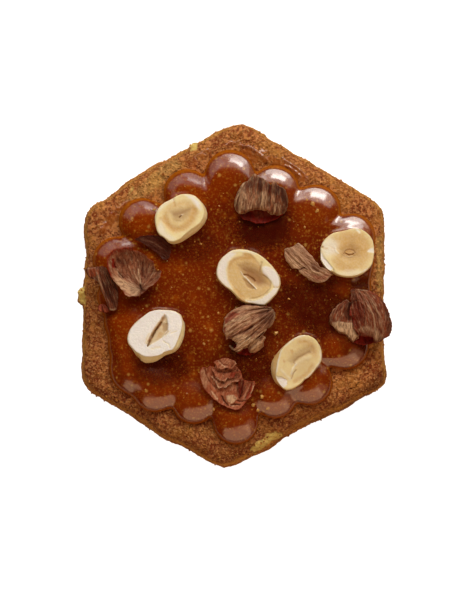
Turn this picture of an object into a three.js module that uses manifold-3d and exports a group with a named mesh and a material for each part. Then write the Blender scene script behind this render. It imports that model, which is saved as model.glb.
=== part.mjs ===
// A hexagonal hazelnut biscuit: a baked short-crust base, caramel piped on it in dots that have run together,
// five halved hazelnuts set in the caramel and eight torn curls of hazelnut skin lying on it.
// Millimetres, +Z up. The origin is the centre of the flat underside, and +Y points at one of the corners.
import * as THREE from "three";
import { mergeVertices } from "three/addons/utils/BufferGeometryUtils.js";
import Module from "manifold-3d";

// Driving dimensions
const ACROSS_FLATS = 70;
const BISCUIT_HEIGHT = 8.5;
const DOT_HEIGHT = 3.3;
const POOL_HEIGHT = 2.6;
const KERNEL_THICKNESS = 5;
const SKIN_THICKNESS = 0.35;
const GAP = 0.3;

// How fine the facets are
const BISCUIT_SEGMENTS = 108;
const CARAMEL_SEGMENTS = 100;
const KERNEL_SEGMENTS = 24;
const SKIN_STEPS = [8, 11];

// The hexagon is hand cut: each side faces its own direction, at its own share of half the width across flats.
const SIDES = [
  { faces: -0.5, reach: 0.995 },
  { faces: 59.5, reach: 1.014 },
  { faces: 119.2, reach: 0.995 },
  { faces: 178.3, reach: 0.983 },
  { faces: 239.2, reach: 1.022 },
  { faces: 298.3, reach: 0.992 },
];
const CORNER_SHARPNESS = 32;
// Where the cut edge swells past the straight side or falls short of it, in degrees and millimetres.
const SWELLS = [
  { at: 55, spread: 10, amount: 0.3 },
  { at: 84, spread: 4, amount: 0.4 },
  { at: 123, spread: 7, amount: 0.4 },
  { at: 142, spread: 6, amount: -1.1 },
  { at: 155, spread: 4, amount: 0.5 },
  { at: 242, spread: 6, amount: 0.5 },
  { at: 281, spread: 5, amount: 0.6 },
  { at: 314, spread: 5, amount: 0.8 },
  { at: 330, spread: 6, amount: 1.3 },
];

// The biscuit's section from the middle of its underside, round its edge, to the middle of its top: how far in
// from the outline, how high, and how much of the crust's unevenness each ring takes.
const BISCUIT_SECTION = [
  { inset: 6, height: 0, rough: 0 },
  { inset: 0.9, height: 0, rough: 0.4 },
  { inset: 0.1, height: 0.7, rough: 1 },
  { inset: 0, height: 2.4, rough: 1 },
  { inset: 0.2, height: 4.6, rough: 1 },
  { inset: 0.5, height: 6.6, rough: 1 },
  { inset: 1.1, height: 7.9, rough: 1 },
  { inset: 2.3, height: 8.55, rough: 1 },
  { inset: 4.3, height: 8.7, rough: 1 },
  { inset: 7, height: BISCUIT_HEIGHT, rough: 0.6 },
  { inset: 15, height: BISCUIT_HEIGHT, rough: 0 },
];
const CRUST_ROUGHNESS = 0.45;
// One side has slumped in the oven, so its foot stands out from under its top edge.
const SLUMP = { faces: 298.3, spread: 26, amount: 1.7 };
// Loose scraps of pale dough baked on to the sides, and a chip out of the top edge.
const SCRAPS = [
  { x: -34.7, y: 0.7, z: 4.7, size: [1.2, 1.2, 1] },
  { x: -34.7, y: -0.9, z: 3.9, size: [1.4, 1.3, 1.2] },
  { x: -8.7, y: 34, z: 6.2, size: [1.3, 1.3, 1] },
];
const CHIP = { x: 7.8, y: -32.6, reach: 5.5, depth: 1.2 };

// Where the caramel was piped, as the middle and radius of each dot of its rim.
const DOTS = [
  { x: -0.7, y: 27.9, radius: 5.8 },
  { x: 9.7, y: 24.4, radius: 5.7 },
  { x: 19.2, y: 19.8, radius: 5.8 },
  { x: 27.7, y: 13.6, radius: 5.3 },
  { x: 27.4, y: 7.3, radius: 5.3 },
  { x: 27, y: 1, radius: 5.1 },
  { x: 26.8, y: -5.4, radius: 5.1 },
  { x: 26.1, y: -11.9, radius: 5.4 },
  { x: 17.8, y: -20.2, radius: 5.3 },
  { x: 9.7, y: -23.4, radius: 5.2 },
  { x: 0.6, y: -29.2, radius: 5.4 },
  { x: -9, y: -24.6, radius: 5.3 },
  { x: -18, y: -21.6, radius: 5.5 },
  { x: -23.3, y: -17.6, radius: 5.2 },
  { x: -24, y: -12.1, radius: 4.9 },
  { x: -25.2, y: -6.3, radius: 4.7 },
  { x: -26.6, y: -0.3, radius: 4.9 },
  { x: -27, y: 8, radius: 5.5 },
  { x: -21, y: 17, radius: 5.5 },
  { x: -10.6, y: 23.7, radius: 5.5 },
];
const DOT_PROFILE = 0.62;
// Shares of the way from the middle of the caramel to its edge at which its surface is cut into rings.
const CARAMEL_RINGS = [0.3, 0.55, 0.68, 0.77, 0.84, 0.9, 0.945, 0.975, 0.993, 1];

// A halved kernel's section, from the middle of its round back to the middle of its cut face: shares of its
// half width and of its thickness, the cut face being at 0.
const KERNEL_BACK = [
  { out: 0, down: 1 },
  { out: 0.45, down: 0.93 },
  { out: 0.78, down: 0.72 },
  { out: 0.97, down: 0.42 },
  { out: 1, down: 0.22 },
  { out: 0.965, down: 0.05 },
  { out: 0.915, down: 0 },
];
const FACE_RINGS = [0.72, 0.42, 0.2];

// The hazelnuts: place, length and width, the way the length points, how far the cut face tips about its length
// and across it, and how far it rises out of the caramel. Each has a hollow in its cut face, and dents in its
// outline at angles from its length.
const KERNELS = [
  {
    x: -12, y: 17.3, length: 12.4, width: 11.4, turn: 30, roll: -9, pitch: -3, rise: 2.8,
    hollow: { length: 4, width: 3, depth: 0.7, turn: 0 },
    dents: [{ at: 100, depth: 0.5, spread: 30 }, { at: 250, depth: 0.5, spread: 34 }],
  },
  {
    x: 3.6, y: 4.1, length: 16.6, width: 12, turn: -40, roll: 3, pitch: 0, rise: 2.9,
    hollow: { length: 7.4, width: 4, depth: 1.1, turn: 0 },
    dents: [{ at: 258, depth: 0.9, spread: 26 }, { at: 85, depth: 0.35, spread: 30 }],
  },
  {
    x: 26.3, y: 9.5, length: 12.8, width: 12, turn: 0, roll: -4, pitch: -3, rise: 2.7,
    hollow: { length: 2.6, width: 1.3, depth: 0.9, turn: 0 },
    dents: [{ at: 128, depth: 0.7, spread: 22 }, { at: 225, depth: 0.3, spread: 25 }],
  },
  {
    x: -17.9, y: -9.6, length: 14.2, width: 11.8, turn: 34, roll: -12, pitch: -5, rise: 3,
    hollow: { length: 7.6, width: 2.3, depth: 1.5, turn: 24 },
    dents: [
      { at: 268, depth: 0.9, spread: 20 },
      { at: 205, depth: 0.4, spread: 20 },
      { at: 130, depth: 0.4, spread: 26 },
    ],
  },
  {
    x: 14.6, y: -15.7, length: 14.2, width: 10.8, turn: 58, roll: 11, pitch: -4, rise: 2.8,
    hollow: { length: 7.2, width: 2, depth: 0.9, turn: -8 },
    dents: [{ at: 262, depth: 1, spread: 20 }, { at: 75, depth: 0.3, spread: 30 }],
  },
];

// The torn skins: each is a patch of a kernel's outside. It reaches from one angle to another along the
// kernel's length and round its girth, and opens upwards where it lies as a cup.
const SKINS = [
  { x: 6.5, y: 22, turn: 94, roll: 0, pitch: 0, rise: 4.3, half: 8, girth: 6.3, flat: 0.8,
    along: [-46, 46], round: [-72, 72], cup: false, ridges: 5 },
  { x: -18.4, y: 10.4, turn: -24, roll: 24, pitch: 3, rise: 0.5, half: 6.6, girth: 4.6, flat: 0.5,
    along: [-46, 46], round: [-42, 42], cup: true, ridges: 3 },
  { x: -22.4, y: 5.3, turn: -72, roll: 4, pitch: 8, rise: 0.4, half: 7, girth: 6.9, flat: 0.6,
    along: [-52, 62], round: [-58, 58], cup: true, ridges: 4 },
  { x: -30.8, y: 1, turn: -70, roll: 12, pitch: 2, rise: 3, half: 9, girth: 3.6, flat: 0.8,
    along: [-31, 31], round: [-60, 44], cup: false, ridges: 2 },
  { x: 17.5, y: 7.4, turn: -37, roll: 5, pitch: -15, rise: 2.8, half: 13, girth: 9, flat: 0.75,
    along: [-31, 30], round: [-16, 16], cup: false, ridges: 2 },
  { x: 29.2, y: -5.2, turn: -72, roll: 0, pitch: 0, rise: 4.4, half: 7.3, girth: 7, flat: 0.74,
    along: [-60, 58], round: [-76, 76], cup: false, ridges: 5 },
  { x: 3.5, y: -8.6, turn: 33, roll: 0, pitch: 0, rise: 3.9, half: 6.9, girth: 5.6, flat: 0.82,
    along: [-48, 68], round: [-74, 74], cup: false, ridges: 4 },
  { x: -1.5, y: -20.6, turn: -58, roll: -5, pitch: 6, rise: 0.4, half: 7.1, girth: 6.7, flat: 0.6,
    along: [-56, 60], round: [-57, 57], cup: true, ridges: 4 },
];
const RIDGE_HEIGHT = 0.16;
const TEAR_DEPTH = 1.1;

const COLOURS = {
  biscuit: { color: 0x9a5a26, roughness: 0.85 },
  caramel: { color: 0x7a2c05, roughness: 0.15 },
  kernel: { color: 0xe6d3a0, roughness: 0.5 },
  skin: { color: 0x6b3a24, roughness: 0.7 },
};

const wasm = await Module();
wasm.setup();

const radians = THREE.MathUtils.degToRad;
const { lerp, smoothstep } = THREE.MathUtils;

// A repeatable value from -1 to 1 for each point of a whole-numbered lattice.
function latticeValue(i, j, k) {
  const wave = Math.sin(i * 127.1 + j * 311.7 + k * 74.7) * 43758.5453;
  return 2 * (wave - Math.floor(wave)) - 1;
}

// Smooth noise from -1 to 1 at a point, with the lattice one unit apart.
function noise(x, y, z) {
  const [i, j, k] = [x, y, z].map(Math.floor);
  const [u, v, w] = [x - i, y - j, z - k].map((t) => t * t * (3 - 2 * t));
  const edge = (b, c) => lerp(latticeValue(i, j + b, k + c), latticeValue(i + 1, j + b, k + c), u);
  return lerp(lerp(edge(0, 0), edge(1, 0), v), lerp(edge(0, 1), edge(1, 1), v), w);
}

// 1 at an angle, falling off on both sides of it over the spread, in degrees.
function nearAngle(angle, at, spread) {
  const away = THREE.MathUtils.euclideanModulo(angle - at + 180, 360) - 180;
  return Math.exp(-((away / spread) ** 2));
}

// A closed body turned about +Z from a profile of [radius, height] pairs, each of its vertices then moved to
// place(radius, angle in degrees, height).
function turned(profile, segments, place) {
  const points = profile.map(([radius, height]) => new THREE.Vector2(radius, height));
  const geometry = new THREE.LatheGeometry(points, segments);
  const position = geometry.attributes.position;
  for (let n = 0; n < position.count; n++) {
    const [radius, height] = profile[n % profile.length];
    const segment = Math.floor(n / profile.length) % segments;
    position.setXYZ(n, ...place(radius, (360 * segment) / segments, height));
  }
  return welded(geometry);
}

// The geometry with only its positions, and its shared vertices merged.
function welded(geometry) {
  geometry.deleteAttribute("normal");
  geometry.deleteAttribute("uv");
  return mergeVertices(geometry, 1e-4);
}

function solid(geometry) {
  const vertProperties = geometry.attributes.position.array;
  return new wasm.Manifold(
    new wasm.Mesh({ numProp: 3, vertProperties, triVerts: new Uint32Array(geometry.index.array) }),
  );
}

// The largest body of a solid as a geometry, so that no scrap left by a cut is kept.
function geometryOf(made) {
  const bodies = made.decompose().sort((a, b) => b.volume() - a.volume());
  const { vertProperties, triVerts } = bodies[0].getMesh();
  const geometry = new THREE.BufferGeometry();
  geometry.setAttribute("position", new THREE.BufferAttribute(vertProperties, 3));
  return geometry.setIndex(new THREE.BufferAttribute(triVerts, 1));
}

// How far the rounded hexagon reaches from its middle in a direction.
function hexagonReach(angle) {
  const sum = SIDES.reduce((total, side) => {
    const facing = Math.max(Math.cos(radians(angle - side.faces)), 0);
    return total + (facing / (side.reach * ACROSS_FLATS / 2)) ** CORNER_SHARPNESS;
  }, 0);
  const straight = sum ** (-1 / CORNER_SHARPNESS);
  return SWELLS.reduce((reach, swell) => reach + swell.amount * nearAngle(angle, swell.at, swell.spread), straight);
}

function biscuitGeometry() {
  const profile = [[0, 0], ...BISCUIT_SECTION.map((ring, n) => [n + 1, ring.height]), [0, BISCUIT_HEIGHT]];
  const body = turned(profile, BISCUIT_SEGMENTS, (ringNumber, angle, height) => {
    if (ringNumber === 0) return [0, 0, height];
    const ring = BISCUIT_SECTION[ringNumber - 1];
    const slump = SLUMP.amount * nearAngle(angle, SLUMP.faces, SLUMP.spread) * (height / BISCUIT_HEIGHT);
    const reach = hexagonReach(angle) - ring.inset - slump;
    const [x, y] = [reach * Math.cos(radians(angle)), reach * Math.sin(radians(angle))];
    const bare = ring.rough * smoothstep(reach - caramelReach(angle), -0.5, 1.5);
    const crag = bare * CRUST_ROUGHNESS * (0.6 * noise(x * 0.3, y * 0.3, height * 0.3)
      + 0.4 * noise(x * 0.8, y * 0.8, height * 0.8));
    const upness = smoothstep(height, 6, BISCUIT_HEIGHT);
    const fromChip = Math.hypot(x - CHIP.x, y - CHIP.y);
    const chipped = CHIP.depth * (1 - smoothstep(fromChip, 0, CHIP.reach));
    const out = 1 + (crag * (1 - upness)) / reach;
    return [x * out, y * out, height + (crag - chipped) * upness];
  });
  const withScraps = SCRAPS.reduce((joined, scrap) => {
    const lump = new THREE.IcosahedronGeometry(1, 1).scale(...scrap.size).translate(scrap.x, scrap.y, scrap.z);
    return joined.add(solid(welded(lump)));
  }, solid(body));
  return geometryOf(withScraps);
}

// How far the caramel reaches from the middle in a direction: the far side of the dots that lie there, with the
// creases between them softened.
function caramelReach(angle) {
  const [east, north] = [Math.cos(radians(angle)), Math.sin(radians(angle))];
  const sum = DOTS.reduce((total, dot) => {
    const along = dot.x * east + dot.y * north;
    const inside = dot.radius ** 2 - (dot.x * north - dot.y * east) ** 2;
    return along > 0 && inside > 0 ? total + (along + Math.sqrt(inside)) ** CORNER_SHARPNESS : total;
  }, 0);
  return sum ** (1 / CORNER_SHARPNESS);
}

// How deep the caramel stands at a share of the way out to its edge: a level pool, with each dot a low dome.
function caramelDepth(share, angle) {
  const reach = caramelReach(angle) * share;
  const [x, y] = [reach * Math.cos(radians(angle)), reach * Math.sin(radians(angle))];
  const domes = DOTS.map((dot) => {
    const near = 1 - ((x - dot.x) ** 2 + (y - dot.y) ** 2) / dot.radius ** 2;
    return DOT_HEIGHT * Math.max(near, 0) ** DOT_PROFILE;
  });
  const pool = POOL_HEIGHT * Math.max(1 - share ** 12, 0) ** DOT_PROFILE;
  return Math.hypot(...[...domes, pool].map((depth) => depth ** 4)) ** (1 / 4);
}

function caramelDepthAt(x, y) {
  const angle = THREE.MathUtils.radToDeg(Math.atan2(y, x));
  return caramelDepth(Math.min(Math.hypot(x, y) / caramelReach(angle), 1), angle);
}

function caramelGeometry(toppings) {
  const outwards = [...CARAMEL_RINGS].reverse();
  const profile = [[0, 0], ...outwards.map((share) => [share, 1]), [0, 1]];
  const body = turned(profile, CARAMEL_SEGMENTS, (share, angle, side) => {
    const reach = caramelReach(angle) * share;
    const height = side * caramelDepth(share, angle) + GAP;
    return [reach * Math.cos(radians(angle)), reach * Math.sin(radians(angle)), BISCUIT_HEIGHT + height];
  });
  return geometryOf(toppings.reduce((left, topping) => left.subtract(topping), solid(body)));
}

// A halved kernel, its cut face upwards at height 0 and its length along X. swell makes the same form larger
// all round by that much, for the bed it lies in.
function kernelGeometry(kernel, swell) {
  const { hollow, dents } = kernel;
  const [halfLength, halfWidth] = [kernel.length / 2 + swell, kernel.width / 2 + swell];
  const back = KERNEL_BACK.map(({ out, down }) => [out, (down > 0 ? -swell : swell) - down * KERNEL_THICKNESS]);
  const face = swell > 0 ? [] : FACE_RINGS.map((share) => [share, 0]);
  return turned([...back, ...face, [0, swell]], KERNEL_SEGMENTS, (share, angle, height) => {
    const [across, along] = [Math.sin(radians(angle)), Math.cos(radians(angle))];
    const dented = dents.reduce((kept, dent) => kept - dent.depth * nearAngle(angle, dent.at, dent.spread), 0);
    const rim = 1 / Math.hypot(along / halfLength, across / halfWidth) + dented;
    if (height < 0 || swell > 0) return [share * rim * along, share * rim * across, height];
    // On the cut face the rings pass from the outline to the hollow, which has its own length, width and turn.
    const fromHollow = radians(angle - hollow.turn);
    const lip = 0.5 / Math.hypot(Math.cos(fromHollow) / hollow.length, Math.sin(fromHollow) / hollow.width);
    const openness = 1 - smoothstep(share, FACE_RINGS[1], FACE_RINGS[0]);
    const reach = lerp(share * rim, (share / FACE_RINGS[1]) * lip, openness);
    const sunk = hollow.depth * (1 - smoothstep(share, 0, FACE_RINGS[0]));
    return [reach * along, reach * across, -sunk];
  });
}

// A sheet of quads mapped on to two faces by place(u, v, side), u and v from -1 to 1, with a rim that closes
// them.
function thinSolid([columns, rows], place) {
  const sheet = new THREE.PlaneGeometry(2, 2, columns, rows);
  const flat = sheet.attributes.position;
  const count = flat.count;
  const positions = new Float32Array(6 * count);
  for (let n = 0; n < count; n++) {
    positions.set(place(flat.getX(n), flat.getY(n), 1), 3 * n);
    positions.set(place(flat.getX(n), flat.getY(n), -1), 3 * (n + count));
  }
  const top = [...sheet.index.array];
  const faces = [...top];
  for (let n = 0; n < top.length; n += 3) {
    faces.push(top[n] + count, top[n + 2] + count, top[n + 1] + count);
  }
  const at = (column, row) => row * (columns + 1) + column;
  const border = [
    ...Array.from({ length: columns }, (_, n) => at(n, 0)),
    ...Array.from({ length: rows }, (_, n) => at(columns, n)),
    ...Array.from({ length: columns }, (_, n) => at(columns - n, rows)),
    ...Array.from({ length: rows }, (_, n) => at(0, rows - n)),
  ];
  border.forEach((here, n) => {
    const next = border[(n + 1) % border.length];
    faces.push(here, next, next + count, here, next + count, here + count);
  });
  const geometry = new THREE.BufferGeometry();
  geometry.setAttribute("position", new THREE.BufferAttribute(positions, 3));
  return geometry.setIndex(faces);
}

// A torn skin as a patch of an ellipsoid whose long axis is X, its edges torn unevenly and its face ridged along
// its length. The number seeds its tears, and swell thickens and widens it for the bed it lies in.
function skinGeometry(skin, number, swell) {
  return thinSolid(SKIN_STEPS, (u, v, side) => {
    const tearAlong = TEAR_DEPTH * noise(v * 3 + 20, number * 7.3, Math.sign(u) * 2.5) * Math.abs(u) ** 3;
    const tearRound = TEAR_DEPTH * noise(u * 3 + 40, number * 5.1, Math.sign(v) * 2.5) * Math.abs(v) ** 3;
    const latitude = radians(lerp(...skin.along, (u + 1) / 2)) + (tearAlong + swell * u) / skin.half;
    const longitude = radians(lerp(...skin.round, (v + 1) / 2)) + (tearRound + swell * v) / skin.girth;
    const ridge = RIDGE_HEIGHT * Math.cos(Math.PI * skin.ridges * v + 1.5 * noise(u * 2, number, 3));
    const out = ridge + side * (SKIN_THICKNESS / 2 + swell);
    const girth = skin.girth * Math.cos(latitude) + out;
    const up = (girth * Math.cos(longitude) - skin.girth) * skin.flat;
    const turnedOver = skin.cup ? -1 : 1;
    return [skin.half * Math.sin(latitude), girth * Math.sin(longitude) * turnedOver, up * turnedOver];
  });
}

function placed(name, geometry, finish, spot) {
  const mesh = new THREE.Mesh(geometry, new THREE.MeshStandardMaterial({ ...COLOURS[finish], metalness: 0 }));
  mesh.name = name;
  if (spot) {
    mesh.position.set(spot.x, spot.y, BISCUIT_HEIGHT + caramelDepthAt(spot.x, spot.y) + spot.rise);
    mesh.rotation.set(radians(spot.roll), radians(spot.pitch), radians(spot.turn), "ZYX");
  }
  mesh.updateMatrixWorld();
  return mesh;
}

const kernels = KERNELS.map((kernel, n) =>
  placed(`hazelnut_${n + 1}`, kernelGeometry(kernel, 0), "kernel", kernel));
const skins = SKINS.map((skin, n) => placed(`skin_${n + 1}`, skinGeometry(skin, n, 0), "skin", skin));

// The beds that the toppings lie in, as solids in the biscuit's frame.
const beds = [
  ...KERNELS.map((kernel, n) => kernelGeometry(kernel, GAP).applyMatrix4(kernels[n].matrixWorld)),
  ...SKINS.map((skin, n) => skinGeometry(skin, n, GAP).applyMatrix4(skins[n].matrixWorld)),
].map(solid);

const base = biscuitGeometry();
const biscuit = placed("biscuit", base, "biscuit");
const caramel = placed("caramel", caramelGeometry(beds), "caramel");

const group = new THREE.Group();
group.add(biscuit, caramel, ...kernels, ...skins);

export default group;
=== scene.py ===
"""A hexagonal hazelnut biscuit: a coarse baked crust, a pool of piped caramel, five halved hazelnuts and eight
torn pieces of their skin, dressed around the part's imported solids.

Things are set out on a plan grid: x runs to the right, y towards the front edge, and a step is 0.231 mm.
Heights are in millimetres above the underside of the biscuit."""

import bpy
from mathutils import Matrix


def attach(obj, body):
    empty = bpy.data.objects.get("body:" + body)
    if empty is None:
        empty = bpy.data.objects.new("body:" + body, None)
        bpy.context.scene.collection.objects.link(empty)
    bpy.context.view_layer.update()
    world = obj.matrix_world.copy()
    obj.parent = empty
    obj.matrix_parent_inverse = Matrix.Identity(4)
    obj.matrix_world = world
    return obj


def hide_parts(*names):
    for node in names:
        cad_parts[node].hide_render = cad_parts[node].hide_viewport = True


bl_info = {
    "name": "Hazelnut biscuit",
    "version": (1, 0, 0),
    "blender": (4, 5, 0),
    "location": "View3D > Sidebar > Biscuit",
    "description": "Dresses the solids of a hazelnut and caramel biscuit, one operator for each of its parts",
    "category": "Object",
}

import itertools
import math

import bpy
import numpy as np
from mathutils import Euler, Vector
from mathutils.bvhtree import BVHTree

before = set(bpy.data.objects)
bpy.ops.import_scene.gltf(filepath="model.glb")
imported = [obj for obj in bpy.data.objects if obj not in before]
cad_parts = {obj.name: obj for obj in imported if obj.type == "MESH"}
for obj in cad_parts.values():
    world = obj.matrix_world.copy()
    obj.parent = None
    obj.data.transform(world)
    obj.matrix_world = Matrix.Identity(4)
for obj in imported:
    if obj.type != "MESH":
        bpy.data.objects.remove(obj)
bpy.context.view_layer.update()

MM = 0.001
# A step of the plan grid in millimetres, and the place on the grid over the part's origin.
GRID_STEP = 0.231
GRID_MIDDLE = np.array([233.0, 294.7])
# The height of the caramel's edge, just above the crust's top.
CARAMEL_FOOT = 8.8
# Rings of points from a closed body's top to its bottom, and how many of the caramel's lie on its top.
CARAMEL_RINGS, CARAMEL_TOP_RINGS = 134, 112
KERNEL_RINGS = 116
# The size, in metres, of the squares that the crust's solid is remade in, and how much it is widened then.
CRUST_MESH_SIZE, CRUST_SPREAD = 0.00055, 1.008
# The crust's roughness, coarse to fine: texture, its kind, its size in metres, its height in grains, its middle.
CRUST_RELIEF = [
    ("crags", "CLOUDS", 0.0042, 1.7, 0.5), ("lumps", "CLOUDS", 0.0016, 1.6, 0.5),
    ("grains", "VORONOI", 0.0009, 0.8, 0.3),
]
# A height, in metres, that is above everything.
ABOVE_ALL = 0.03
# The height of what the picture shows, in metres, that of the camera's sensor in millimetres, and where it aims.
PICTURE_HEIGHT, SENSOR_HEIGHT = 0.1363, 36
CAMERA_AIM = Vector((0.00058, -0.00007, 0.011))

# ---------------------------------------------------------------------------------------------------------------
# Where things are
# ---------------------------------------------------------------------------------------------------------------

# The dots of caramel round the pool, in millimetres: middle and radius.
DOTS = [
    (-0.7, 27.9, 5.8), (9.7, 24.4, 5.7), (19.2, 19.8, 5.8), (27.7, 13.6, 5.3), (27.4, 7.3, 5.3),
    (27.0, 1.0, 5.1), (26.8, -5.4, 5.1), (26.1, -11.9, 5.4), (17.8, -20.2, 5.3), (9.7, -23.4, 5.2),
    (0.6, -29.2, 5.4), (-9.0, -24.6, 5.3), (-18.0, -21.6, 5.5), (-23.3, -17.6, 5.2), (-24.0, -12.1, 4.9),
    (-25.2, -6.3, 4.7), (-26.6, -0.3, 4.9), (-27.0, 8.0, 5.5), (-21.0, 17.0, 5.5), (-10.6, 23.7, 5.5),
]

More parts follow.
